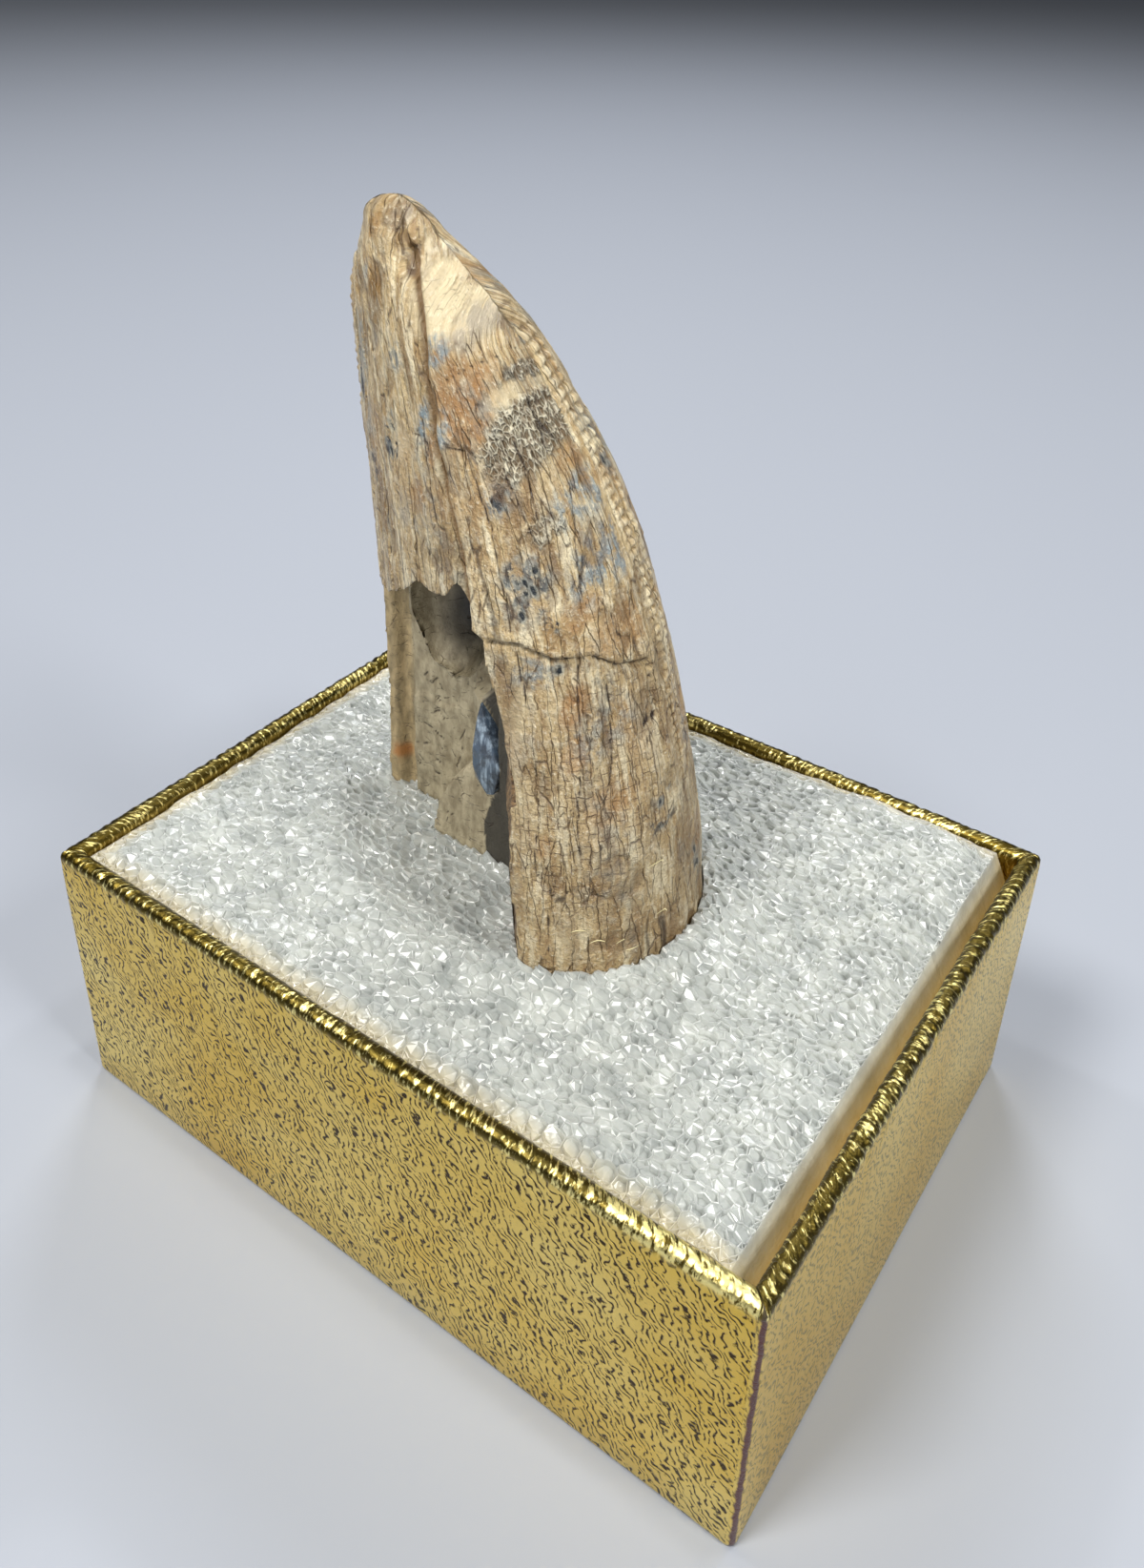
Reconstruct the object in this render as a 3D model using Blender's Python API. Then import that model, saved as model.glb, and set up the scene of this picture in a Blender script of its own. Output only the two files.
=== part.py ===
"""Fossil theropod tooth standing in the white foam of a small gold foil gift box.

The frame: X runs along the long side of the box and Y along its short side, +Z is up, and the origin
is the middle of the underside. Sizes in the constants are millimetres.
"""

from math import acos, cos, exp, pi, sin, sqrt

import bmesh
import bpy
from mathutils import Matrix, Vector, noise

MM = 0.001

# Box, outside sizes
BOX_LENGTH = 52.0
BOX_WIDTH = 39.0
BOX_HEIGHT = 20.0
BOARD_THICKNESS = 0.7
FOIL_THICKNESS = 0.2
GLUE_GAP = 0.05
TURN_IN = 8.0
CORNER_RADIUS = 0.5
INNER_CORNER_RADIUS = 0.12
CORNER_STEPS = 3
RIM_STEPS = 6
RIM_WIDTH = BOARD_THICKNESS + 2.0 * (FOIL_THICKNESS + GLUE_GAP)

# Foam pad
FOAM_GAP = 0.3
FOAM_TOP = 19.7
FOAM_COLUMNS = 28
FOAM_ROWS = 20
FOAM_LUMP = 0.28
FOAM_LUMP_SCALE = 0.45
FOAM_BULGE = 1.1
BULGE_CENTRE = (17.0, 14.0)
BULGE_RADII = (9.0, 6.0)
FOAM_PILE = 0.7
PILE_CENTRE = (-1.5, -0.8)
PILE_RADII = (14.5, 10.5)
PILE_WIDTH = 0.16
FOAM_RIGHT_SLOPE = 1.2
EDGE_DROP = 0.5
EDGE_DROP_START = 0.93
SLOT_CLEARANCE = 0.3

# Crown of the tooth: its two edges seen from the side, at these heights
ROOT_END = 9.5
TIP_START = 59.5
TIP_HEIGHT = 61.2
TIP_X = -10.9
TIP_SLOPE_SHARE = 0.45
OUTLINE_HEIGHTS = (9.5, 20.0, 28.0, 36.0, 44.0, 51.0, 56.0, 59.5)
DISTAL_EDGE = (-13.8, -14.2, -14.1, -14.1, -14.5, -15.0, -15.0, -13.8)
MESIAL_EDGE = (11.1, 10.7, 9.7, 7.8, 5.2, 1.1, -3.3, -8.0)

# Cross-section: a teardrop, blunt in front and drawn out to an edge behind
BASE_THICKNESS_RATIO = 0.70
TIP_THICKNESS_RATIO = 0.60
DISTAL_TAPER = 0.8
MESIAL_TAPER = 0.5
MIDLINE_Y = -0.8
MIDLINE_SLOPE = -0.064

# Mesh of the crown
NEAR_COLUMNS = 26
FAR_COLUMNS = 18
STEP_COLUMN = 16
CROWN_ROWS = 41
ROWS_IN_FOAM = 4
ROW_CROWDING = 0.85
FOAM_LEVEL = 20.0

# Relief of the crown
STEP_HEIGHTS = (9.5, 43.5, 53.0, 56.5, 59.2)
STEP_FRACTIONS = (0.71, 0.68, 0.70, 0.77, 0.87)
STEP_RISE = 0.40
STEP_HALF_WIDTH = 0.0075
STEP_FADE = (0.36, 0.47)
JOINT_LINE = ((0.8, 40.4), (2.5, 40.6), (4.0, 39.9), (5.7, 39.8), (6.7, 38.9), (7.4, 38.2))
JOINT_DROP = 0.22
LUMP_SIZE = 0.10
LUMP_ACROSS = 0.55
LUMP_ALONG = 0.22

# Pits and flaked patches: centre x and z, half width, half height, depth, and how soft their edge is
CHIP_EDGE = (0.75, 1.15)
CHIPS = (
    (-10.2, 60.3, 1.6, 1.1, 0.25),
    (-7.6, 59.0, 0.8, 1.0, 0.35),
    (-2.6, 55.9, 1.9, 1.5, 0.18),
    (-4.3, 53.2, 1.4, 2.4, 0.14),
    (0.2, 51.2, 2.2, 2.8, 0.16),
    (6.8, 22.0, 1.4, 1.6, 0.15),
)

# Serrated edges: pitch of the denticles, and how the blade stands on the crown
DENTICLE_PITCH = 0.6
BLADE_HALF_WIDTH = 0.35
BLADE_SINK = 0.45
BLADE_RISE = 0.22
BLADE_FADE = 0.12
BLADE_END_SINK = 0.15
DENTICLE_RISE = 0.20
MESIAL_BLADE = (31.5, 56.5)
MESIAL_BLADE_FRACTION = 0.975
DISTAL_BLADE = (40.2, 56.5)
DISTAL_BLADE_FRACTION = 0.0006

# Broken-out wall: the ragged top of the gap, its right edge, and the depth of what lies behind
WINDOW_LEFT = -17.0
WINDOW_FRONT = -20.0
WINDOW_FLOOR = 6.0
WINDOW_COLUMNS = 26
WINDOW_ROWS = 22
WINDOW_TOP = (
    (-17.0, 35.4), (-14.2, 36.0), (-11.5, 37.9), (-10.2, 38.7), (-9.1, 38.2), (-7.5, 39.0),
    (-5.6, 40.4), (-4.3, 41.5), (-3.1, 41.6), (-2.0, 41.8), (-1.1, 43.2), (-0.5, 42.0),
    (0.2, 41.0), (1.0, 40.5),
)
WINDOW_EDGE = (
    (6.0, 3.9), (20.0, 3.8), (23.0, 3.7), (25.9, 3.2), (28.3, 3.3), (31.6, 3.3), (34.0, 2.7),
    (36.5, 2.0), (38.8, 1.2), (43.5, 1.0),
)
EDGE_SLANT = 0.87
SLANT_START = 0.35
EDGE_CLEARANCE_SHARE = 1.6
EDGE_FACE = -9.0
FILLING_FACE = (
    (-17.0, -0.45), (-13.3, -0.4), (-12.9, 0.4), (-12.3, 0.5), (-12.0, -0.1), (-6.3, -0.1),
    (-5.9, -1.0), (-4.9, -1.6), (-3.6, -1.2), (-3.0, -2.2), (4.0, -2.4),
)
CHUNK_TOP = (
    (-8.4, 19.5), (-7.9, 22.2), (-6.8, 24.3), (-5.3, 26.0), (-3.7, 24.6), (-2.9, 24.8), (4.0, 24.0),
)
CHUNK_LEFT = -8.3
CHUNK_FACE = -2.6
CHUNK_SLOPE = 0.10
CRYSTAL_TOP = 31.0
CRYSTAL_LEFT = -6.1
CRYSTAL_DEPTH = 0.2
FILLING_ROUGHNESS = 0.15

# Hollow end of the pulp cavity, behind the hanging strip of wall
HOLLOW_CENTRE = (-8.4, -0.56, 36.3)
HOLLOW_RADII = (3.4, 3.6, 6.0)
HOLLOW_SEGMENTS = 12
HOLLOW_RINGS = 8
HOLLOW_SWELL = 0.12


def clear_scene():
    """Remove every object of the start-up scene."""
    for item in list(bpy.data.objects):
        bpy.data.objects.remove(item, do_unlink=True)


def make_material(name, colour, roughness, metallic=0.0):
    """A plain finish with the piece's mean colour."""
    material = bpy.data.materials.new(name)
    material.use_nodes = True
    shader = material.node_tree.nodes["Principled BSDF"]
    shader.inputs["Base Color"].default_value = (*colour, 1.0)
    shader.inputs["Roughness"].default_value = roughness
    shader.inputs["Metallic"].default_value = metallic
    return material


def finish_object(name, bm, material=None):
    """Turn a bmesh in millimetres into an object in metres, faces pointing out."""
    bmesh.ops.recalc_face_normals(bm, faces=bm.faces)
    bmesh.ops.transform(bm, matrix=Matrix.Scale(MM, 4), verts=bm.verts)
    mesh = bpy.data.meshes.new(name)
    bm.to_mesh(mesh)
    bm.free()
    if material is not None:
        mesh.materials.append(material)
    item = bpy.data.objects.new(name, mesh)
    bpy.context.scene.collection.objects.link(item)
    return item


def hide_cutter(item):
    """Mark an object as a tool that only shapes another one."""
    item.hide_render = True
    item.display_type = "WIRE"


def combine(target, other, operation):
    """Cut the other object from the target, or join it on."""
    modifier = target.modifiers.new(other.name, "BOOLEAN")
    modifier.operation = operation
    modifier.object = other
    modifier.solver = "EXACT"
    hide_cutter(other)


def blend_steps(low, high, value):
    """Rise smoothly from 0 at low to 1 at high."""
    share = min(max((value - low) / (high - low), 0.0), 1.0)
    return share * share * (3.0 - 2.0 * share)


def oval_reach(x, y, centre, radii):
    """Distance from the middle of an oval, 1 on its outline."""
    return sqrt(((x - centre[0]) / radii[0]) ** 2 + ((y - centre[1]) / radii[1]) ** 2)


def straight_line(points, position):
    """Read a broken line through (position, value) points."""
    if position <= points[0][0]:
        return points[0][1]
    for (start, first), (end, last) in zip(points, points[1:]):
        if position <= end:
            return first + (last - first) * (position - start) / (end - start)
    return points[-1][1]


def smooth_line(positions, values, position):
    """Read a smooth curve through the values, with slopes taken from their neighbours."""
    spans = [b - a for a, b in zip(positions, positions[1:])]
    slopes = [(b - a) / span for a, b, span in zip(values, values[1:], spans)]
    tangents = [slopes[0]]
    for index in range(1, len(slopes)):
        before, after = spans[index - 1], spans[index]
        tangents.append((slopes[index - 1] * after + slopes[index] * before) / (before + after))
    tangents.append(slopes[-1])
    position = min(max(position, positions[0]), positions[-1])
    index = 0
    while index < len(spans) - 1 and position > positions[index + 1]:
        index += 1
    span = spans[index]
    t = (position - positions[index]) / span
    start = (2 * t**3 - 3 * t**2 + 1) * values[index] + (t**3 - 2 * t**2 + t) * span * tangents[index]
    end = (3 * t**2 - 2 * t**3) * values[index + 1] + (t**3 - t**2) * span * tangents[index + 1]
    return start + end


def crown_section(height):
    """Distal edge, mesial edge and half thickness of the crown at a height."""
    level = min(max(height, ROOT_END), TIP_START)
    distal = smooth_line(OUTLINE_HEIGHTS, DISTAL_EDGE, level)
    mesial = smooth_line(OUTLINE_HEIGHTS, MESIAL_EDGE, level)
    upward = min(max((level - FOAM_LEVEL) / (TIP_START - FOAM_LEVEL), 0.0), 1.0)
    ratio = BASE_THICKNESS_RATIO + (TIP_THICKNESS_RATIO - BASE_THICKNESS_RATIO) * upward
    if height > TIP_START:
        rise = (height - TIP_START) / (TIP_HEIGHT - TIP_START)
        dome = 1.0 - sqrt(max(0.0, 1.0 - rise * rise))
        distal += (TIP_X - distal) * dome
        mesial += (TIP_X - mesial) * (dome + TIP_SLOPE_SHARE * (rise - dome))
    return distal, mesial, 0.5 * ratio * (mesial - distal)


def section_point(fraction, side, height):
    """Point of the plain crown at a share of its length; side is -1 for the near face."""
    distal, mesial, thickness = crown_section(height)
    widest = DISTAL_TAPER / (DISTAL_TAPER + MESIAL_TAPER)
    swell = (fraction / widest) ** DISTAL_TAPER * ((1.0 - fraction) / (1.0 - widest)) ** MESIAL_TAPER
    x = distal + (mesial - distal) * fraction
    midline = MIDLINE_Y + MIDLINE_SLOPE * (fraction - 0.5) * (mesial - distal)
    y = midline + side * thickness * swell
    return Vector((x, y, height))


def turn_fraction(turn):
    """Share of the length and the face for a turn of 0 to 1 around the section."""
    angle = 2.0 * pi * turn
    side = -1.0 if turn <= 0.5 else 1.0
    return min(max(0.5 * (1.0 - cos(angle)), 0.0), 1.0), side


def outward(turn, height):
    """Direction out of the section at a turn around it."""
    small = 0.004
    before = section_point(*turn_fraction((turn - small) % 1.0), height)
    after = section_point(*turn_fraction((turn + small) % 1.0), height)
    along = after - before
    return Vector((along.y, -along.x, 0.0)).normalized()


def turn_of_fraction(fraction):
    """Turn on the near face at which the section reaches a share of its length."""
    return acos(1.0 - 2.0 * fraction) / (2.0 * pi)


def step_turn(height):
    """Turn at which the long split runs up the near face."""
    return turn_of_fraction(smooth_line(STEP_HEIGHTS, STEP_FRACTIONS, height))


def column_turn(column, height):
    """Turn of a mesh column; one narrow column holds the rise of the split."""
    split = step_turn(height)
    if column <= STEP_COLUMN:
        return (split - STEP_HALF_WIDTH) * column / STEP_COLUMN
    if column <= NEAR_COLUMNS:
        start = split + STEP_HALF_WIDTH
        share = (column - STEP_COLUMN - 1) / (NEAR_COLUMNS - STEP_COLUMN - 1)
        return start + (0.5 - start) * share
    return 0.5 + 0.5 * (column - NEAR_COLUMNS) / FAR_COLUMNS


def row_height(row):
    """Height of a mesh row: wide rows in the foam, even ones above, close ones at the tip."""
    if row <= ROWS_IN_FOAM:
        return ROOT_END + (FOAM_LEVEL - ROOT_END) * row / ROWS_IN_FOAM
    share = (row - ROWS_IN_FOAM) / (CROWN_ROWS - ROWS_IN_FOAM)
    return FOAM_LEVEL + (TIP_HEIGHT - FOAM_LEVEL) * sin(0.5 * pi * share) ** ROW_CROWDING


def crown_relief(point, turn, column):
    """How far the real surface stands out from the plain section."""
    grain = Vector((point.x * LUMP_ACROSS, point.y * LUMP_ACROSS, point.z * LUMP_ALONG))
    rise = LUMP_SIZE * noise.noise(grain)
    if 0.0 < turn < 0.5:
        if column > STEP_COLUMN:
            rise += STEP_RISE * (1.0 - blend_steps(*STEP_FADE, turn))
            if point.x > JOINT_LINE[0][0] and point.z < straight_line(JOINT_LINE, point.x):
                rise -= JOINT_DROP
        for x, z, half_width, half_height, depth in CHIPS:
            reach = oval_reach(point.x, point.z, (x, z), (half_width, half_height))
            rise -= depth * (1.0 - blend_steps(*CHIP_EDGE, reach))
    return rise


def crown_mesh(offset=0.0, relief=True):
    """Closed bmesh of the whole crown and root, before the broken wall is cut out."""
    columns = NEAR_COLUMNS + FAR_COLUMNS
    bm = bmesh.new()
    bmesh.ops.create_grid(bm, x_segments=columns, y_segments=CROWN_ROWS, size=0.5)
    for vert in bm.verts:
        column = round((vert.co.x + 0.5) * columns)
        row = round((vert.co.y + 0.5) * CROWN_ROWS)
        height = row_height(row)
        turn = column_turn(column, height) % 1.0
        point = section_point(*turn_fraction(turn), height)
        if row < CROWN_ROWS:
            direction = outward(turn, min(height, TIP_START))
            rise = crown_relief(point, turn, column % columns) if relief else 0.0
            point += direction * (rise + offset)
        if row == 0:
            point.z -= offset
        vert.co = point
    bmesh.ops.remove_doubles(bm, verts=bm.verts, dist=0.001)
    bmesh.ops.holes_fill(bm, edges=[edge for edge in bm.edges if edge.is_boundary])
    return bm


def filling_depth(x, z):
    """Y of the mineral filling that shows where the wall is gone."""
    depth = straight_line(FILLING_FACE, x)
    if x > CRYSTAL_LEFT and z > CRYSTAL_TOP:
        depth = max(depth, CRYSTAL_DEPTH)
    if x > CHUNK_LEFT and z < straight_line(CHUNK_TOP, x):
        depth = min(depth, CHUNK_FACE + CHUNK_SLOPE * (z - FOAM_LEVEL))
    return depth + FILLING_ROUGHNESS * noise.noise(Vector((x * 0.9, 3.1, z * 0.5)))


def foremost_filling(x, z, clearance):
    """Y of the filling's nearest point within a clearance to either side, less that clearance."""
    reach = 2.0 * clearance
    return min(filling_depth(x + shift, z) for shift in (-reach, 0.0, reach)) - clearance


def window_cutter(name, clearance=0.0):
    """Solid that removes the missing wall down to the face of the filling."""
    bm = bmesh.new()
    bmesh.ops.create_grid(bm, x_segments=WINDOW_COLUMNS, y_segments=WINDOW_ROWS, size=0.5)
    right_at_top = WINDOW_TOP[-1][0]
    front = bm.faces[:]
    made = bmesh.ops.extrude_face_region(bm, geom=front)
    back = {item for item in made["geom"] if isinstance(item, bmesh.types.BMVert)}
    for vert in bm.verts:
        across, upward = vert.co.x + 0.5, vert.co.y + 0.5
        top_x = WINDOW_LEFT + (right_at_top - WINDOW_LEFT) * across
        top = straight_line(WINDOW_TOP, top_x) - clearance
        z = WINDOW_FLOOR + (top - WINDOW_FLOOR) * upward
        edge = straight_line(WINDOW_EDGE, z) - EDGE_CLEARANCE_SHARE * clearance
        x = WINDOW_LEFT + (edge - WINDOW_LEFT) * across
        slant = blend_steps(SLANT_START, 1.0, across)
        if vert in back:
            inner_edge = edge - EDGE_SLANT * (CHUNK_FACE - EDGE_FACE)
            x = WINDOW_LEFT + (inner_edge - WINDOW_LEFT) * across
            y = foremost_filling(x, z, clearance)
        else:
            x += slant * EDGE_SLANT * (EDGE_FACE - WINDOW_FRONT)
            y = WINDOW_FRONT
        vert.co = Vector((x, y, z))
    return finish_object(name, bm)


def hollow_cutter():
    """Rounded end of the pulp cavity above the filling."""
    bm = bmesh.new()
    bmesh.ops.create_uvsphere(bm, u_segments=HOLLOW_SEGMENTS, v_segments=HOLLOW_RINGS, radius=1.0)
    for vert in bm.verts:
        swell = 1.0 + HOLLOW_SWELL * noise.noise(vert.co * 2.3)
        vert.co = Vector([c + r * swell * v for c, r, v in zip(HOLLOW_CENTRE, HOLLOW_RADII, vert.co)])
    return finish_object("hollow_cutter", bm)


def serrated_blade(name, start, end, turn):
    """Three-sided ridge with a notched crest, laid along one edge of the crown."""
    steps = 2 * round((end - start) / DENTICLE_PITCH)
    bm = bmesh.new()
    ring = None
    for step in range(steps + 1):
        height = start + (end - start) * step / steps
        point = section_point(*turn_fraction(turn), height)
        direction = outward(turn, height)
        across = Vector((-direction.y, direction.x, 0.0))
        along = step / steps
        fade = blend_steps(0.0, BLADE_FADE, along) * blend_steps(0.0, BLADE_FADE, 1.0 - along)
        crest = (BLADE_RISE + DENTICLE_RISE * (step % 2)) * fade - BLADE_END_SINK * (1.0 - fade)
        new_ring = [
            bm.verts.new(point - direction * BLADE_SINK - across * BLADE_HALF_WIDTH),
            bm.verts.new(point + direction * crest),
            bm.verts.new(point - direction * BLADE_SINK + across * BLADE_HALF_WIDTH),
        ]
        if ring is None:
            bm.faces.new(new_ring)
        else:
            for index in range(3):
                following = (index + 1) % 3
                bm.faces.new((ring[index], ring[following], new_ring[following], new_ring[index]))
        ring = new_ring
    bm.faces.new(list(reversed(ring)))
    return finish_object(name, bm)


def build_tooth():
    """The tooth: crown, serrated edges, broken window and hollow, as one solid."""
    fossil = make_material("fossil enamel and dentine", (0.52, 0.36, 0.19), 0.55)
    tooth = finish_object("tooth", crown_mesh(), fossil)
    mesial_turn = 1.0 - turn_of_fraction(MESIAL_BLADE_FRACTION)
    distal_turn = 1.0 - turn_of_fraction(DISTAL_BLADE_FRACTION)
    combine(tooth, serrated_blade("mesial_blade", *MESIAL_BLADE, mesial_turn), "UNION")
    combine(tooth, serrated_blade("distal_blade", *DISTAL_BLADE, distal_turn), "UNION")
    combine(tooth, window_cutter("window_cutter"), "DIFFERENCE")
    combine(tooth, hollow_cutter(), "DIFFERENCE")
    return tooth


def foam_height(x, y):
    """Top of the foam: cell lumps, a bulge at the back and a collar round the tooth."""
    lumps = FOAM_LUMP * noise.noise(Vector((x * FOAM_LUMP_SCALE, y * FOAM_LUMP_SCALE, 7.3)))
    bulge = FOAM_BULGE * exp(-(oval_reach(x, y, BULGE_CENTRE, BULGE_RADII) ** 2))
    reach = oval_reach(x, y, PILE_CENTRE, PILE_RADII)
    pile = FOAM_PILE * exp(-(((reach - 1.0) / PILE_WIDTH) ** 2))
    return FOAM_TOP + lumps + bulge + pile


def build_foam():
    """The foam pad, cut by the buried part of the tooth."""
    foam = make_material("white polyethylene foam", (0.86, 0.87, 0.86), 0.45)
    inside_x = 0.5 * BOX_LENGTH - RIM_WIDTH - FOAM_GAP
    inside_y = 0.5 * BOX_WIDTH - RIM_WIDTH - FOAM_GAP
    bottom = FOIL_THICKNESS + GLUE_GAP + BOARD_THICKNESS + FOAM_GAP
    bm = bmesh.new()
    bmesh.ops.create_grid(bm, x_segments=FOAM_COLUMNS, y_segments=FOAM_ROWS, size=1.0)
    made = bmesh.ops.extrude_face_region(bm, geom=bm.faces[:])
    upper = {item for item in made["geom"] if isinstance(item, bmesh.types.BMVert)}
    for vert in bm.verts:
        x = vert.co.x * inside_x
        y = vert.co.y * inside_y
        if vert in upper:
            x -= FOAM_RIGHT_SLOPE * blend_steps(0.6, 1.0, vert.co.x)
            edge = max(abs(vert.co.x), abs(vert.co.y))
            drop = EDGE_DROP * blend_steps(EDGE_DROP_START, 1.0, edge)
            vert.co = Vector((x, y, foam_height(x, y) - drop))
        else:
            vert.co = Vector((x, y, bottom))
    flat = [face for face in bm.faces if all(abs(vert.co.z - bottom) < 1e-6 for vert in face.verts)]
    bmesh.ops.dissolve_faces(bm, faces=flat)
    pad = finish_object("foam_pad", bm, foam)
    slot = finish_object("slot_cutter", crown_mesh(SLOT_CLEARANCE, relief=True))
    combine(slot, window_cutter("slot_window_cutter", SLOT_CLEARANCE), "DIFFERENCE")
    combine(pad, slot, "DIFFERENCE")
    return pad


def rectangle_loop(bm, inset, height):
    """One level of a box wall: a rectangle with rounded corners, as a closed ring of vertices."""
    radius = max(CORNER_RADIUS - inset, INNER_CORNER_RADIUS)
    centre_x = 0.5 * BOX_LENGTH - inset - radius
    centre_y = 0.5 * BOX_WIDTH - inset - radius
    ring = []
    for corner in range(4):
        sign_x = 1.0 if corner in (0, 3) else -1.0
        sign_y = 1.0 if corner in (0, 1) else -1.0
        for step in range(CORNER_STEPS + 1):
            angle = 0.5 * pi * (corner + step / CORNER_STEPS)
            x = sign_x * centre_x + radius * cos(angle)
            y = sign_y * centre_y + radius * sin(angle)
            ring.append(bm.verts.new((x, y, height)))
    return ring


def swept_box(name, profile, material):
    """Close a box wall from a list of (inset, height) levels, outside bottom to inside bottom."""
    bm = bmesh.new()
    rings = [rectangle_loop(bm, inset, height) for inset, height in profile]
    bm.faces.new(list(reversed(rings[0])))
    for lower, upper in zip(rings, rings[1:]):
        for index in range(len(lower)):
            following = (index + 1) % len(lower)
            bm.faces.new((lower[index], lower[following], upper[following], upper[index]))
    bm.faces.new(rings[-1])
    return finish_object(name, bm, material)


def rim_arc(outer_inset, radius, top):
    """Half circle over the rim, from its outer side to its inner side."""
    levels = []
    for step in range(RIM_STEPS + 1):
        angle = pi * step / RIM_STEPS
        levels.append((outer_inset + radius * (1.0 - cos(angle)), top - radius + radius * sin(angle)))
    return levels


def build_board():
    """The chipboard tray inside the foil paper."""
    chipboard = make_material("grey chipboard", (0.42, 0.38, 0.31), 0.85)
    skin = FOIL_THICKNESS + GLUE_GAP
    profile = [(skin, skin)]
    profile += rim_arc(skin, 0.5 * BOARD_THICKNESS, BOX_HEIGHT - skin)
    profile.append((skin + BOARD_THICKNESS, skin + BOARD_THICKNESS))
    return swept_box("box_board", profile, chipboard)


def build_foil():
    """The gold foil paper: underside, outer walls, rim and the turned-in edge."""
    gold = make_material("gold foil paper", (0.62, 0.46, 0.12), 0.35, metallic=0.9)
    outer_radius = 0.5 * RIM_WIDTH
    inner_radius = outer_radius - FOIL_THICKNESS
    hem = BOX_HEIGHT - TURN_IN
    profile = [(0.0, 0.0)]
    profile += rim_arc(0.0, outer_radius, BOX_HEIGHT)
    profile += [(RIM_WIDTH, hem), (RIM_WIDTH - FOIL_THICKNESS, hem)]
    profile += list(reversed(rim_arc(FOIL_THICKNESS, inner_radius, BOX_HEIGHT - FOIL_THICKNESS)))
    profile.append((FOIL_THICKNESS, FOIL_THICKNESS))
    return swept_box("foil_wrap", profile, gold)


def main():
    """Build the four pieces."""
    clear_scene()
    build_foil()
    build_board()
    build_foam()
    build_tooth()


main()
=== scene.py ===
"""Looks of a fossil theropod tooth that stands in the white foam of a small gold foil gift box.

The frame: X runs along the long side of the box and Y along its short side, +Z is up, and the origin is
the middle of the underside. Shapes are worked out in millimetres and turned into metres at the end.
"""

from math import cos, hypot, pi, radians, sin, sqrt

import bmesh
import bpy
import numpy as np
from mathutils import Matrix, Vector, noise


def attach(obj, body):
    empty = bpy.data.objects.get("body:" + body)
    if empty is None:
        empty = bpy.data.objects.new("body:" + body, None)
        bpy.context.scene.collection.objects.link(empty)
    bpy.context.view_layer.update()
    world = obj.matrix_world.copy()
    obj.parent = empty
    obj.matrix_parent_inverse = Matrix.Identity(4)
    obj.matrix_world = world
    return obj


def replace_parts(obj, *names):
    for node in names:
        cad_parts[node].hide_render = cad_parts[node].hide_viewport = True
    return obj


bl_info = {
    "name": "Fossil tooth in a gift box",
    "version": (1, 0, 0),
    "blender": (4, 5, 0),
    "location": "3D View > Sidebar > Fossil tooth",
    "description": "A cracked fossil tooth, its foam pad and its gold foil box, around a packed frame",
    "category": "Add Mesh",
}

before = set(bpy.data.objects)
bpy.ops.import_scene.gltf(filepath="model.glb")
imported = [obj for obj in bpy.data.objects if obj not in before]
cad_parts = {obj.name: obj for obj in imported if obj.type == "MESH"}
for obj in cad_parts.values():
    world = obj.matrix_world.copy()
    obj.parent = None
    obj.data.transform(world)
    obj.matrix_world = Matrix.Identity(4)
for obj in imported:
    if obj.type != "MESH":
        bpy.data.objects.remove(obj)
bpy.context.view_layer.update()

MM = 0.001

# Box, outside sizes
BOX_LENGTH = 52.0
BOX_WIDTH = 39.0
BOX_HEIGHT = 20.0
BOARD_THICKNESS = 0.7
FOIL_THICKNESS = 0.2
GLUE_GAP = 0.05
TURN_IN = 8.0
CORNER_RADIUS = 0.5
INNER_CORNER_RADIUS = 0.12
RIM_WIDTH = BOARD_THICKNESS + 2.0 * (FOIL_THICKNESS + GLUE_GAP)
RIM_BOTTOM = BOX_HEIGHT - 0.5 * RIM_WIDTH

# Foam pad: gap to the board, top with its lumps, bulge, pile and collar round the tooth, and its edges
FOAM_GAP = 0.3
FOAM_TOP = 19.7
FOAM_HALF_LENGTH = 0.5 * BOX_LENGTH - RIM_WIDTH - FOAM_GAP
FOAM_HALF_WIDTH = 0.5 * BOX_WIDTH - RIM_WIDTH - FOAM_GAP
FOAM_LUMP = 0.28
FOAM_LUMP_SCALE = 0.45
FOAM_BULGE = 1.1
BULGE_CENTRE = (17.0, 14.0)
BULGE_RADII = (9.0, 6.0)
FOAM_PILE = 0.7
PILE_CENTRE = (-1.5, -0.8)
PILE_RADII = (14.5, 10.5)
PILE_WIDTH = 0.16
HUG_CENTRE = (-1.8, -0.8)
HUG_RADII = (12.8, 8.9)
HUG_WIDTH = 0.13
HUG_RISE = 0.65
FOAM_RIGHT_SLOPE = 1.2
EDGE_TINT = 0.4
EDGE_TINT_WIDTH = 1.4
EDGE_DROP = 0.5
EDGE_DROP_START = 0.93

# Crown of the tooth: its two edges seen from the side, at these heights
ROOT_END = 9.5
TIP_START = 59.5
TIP_HEIGHT = 61.2
TIP_X = -10.9
TIP_SLOPE_SHARE = 0.45
OUTLINE_HEIGHTS = (9.5, 20.0, 28.0, 36.0, 44.0, 51.0, 56.0, 59.5)
DISTAL_EDGE = (-13.8, -14.2, -14.1, -14.1, -14.5, -15.0, -15.0, -13.8)
MESIAL_EDGE = (11.1, 10.7, 9.7, 7.8, 5.2, 1.1, -3.3, -8.0)
BASE_THICKNESS_RATIO = 0.70
TIP_THICKNESS_RATIO = 0.60
DISTAL_TAPER = 0.8
MESIAL_TAPER = 0.5
MIDLINE_Y = -0.8
MIDLINE_SLOPE = -0.064
FOAM_LEVEL = 20.0
HALF_GIRTH = 26.0
TIP_BLEND = (54.5, 58.5)

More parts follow.
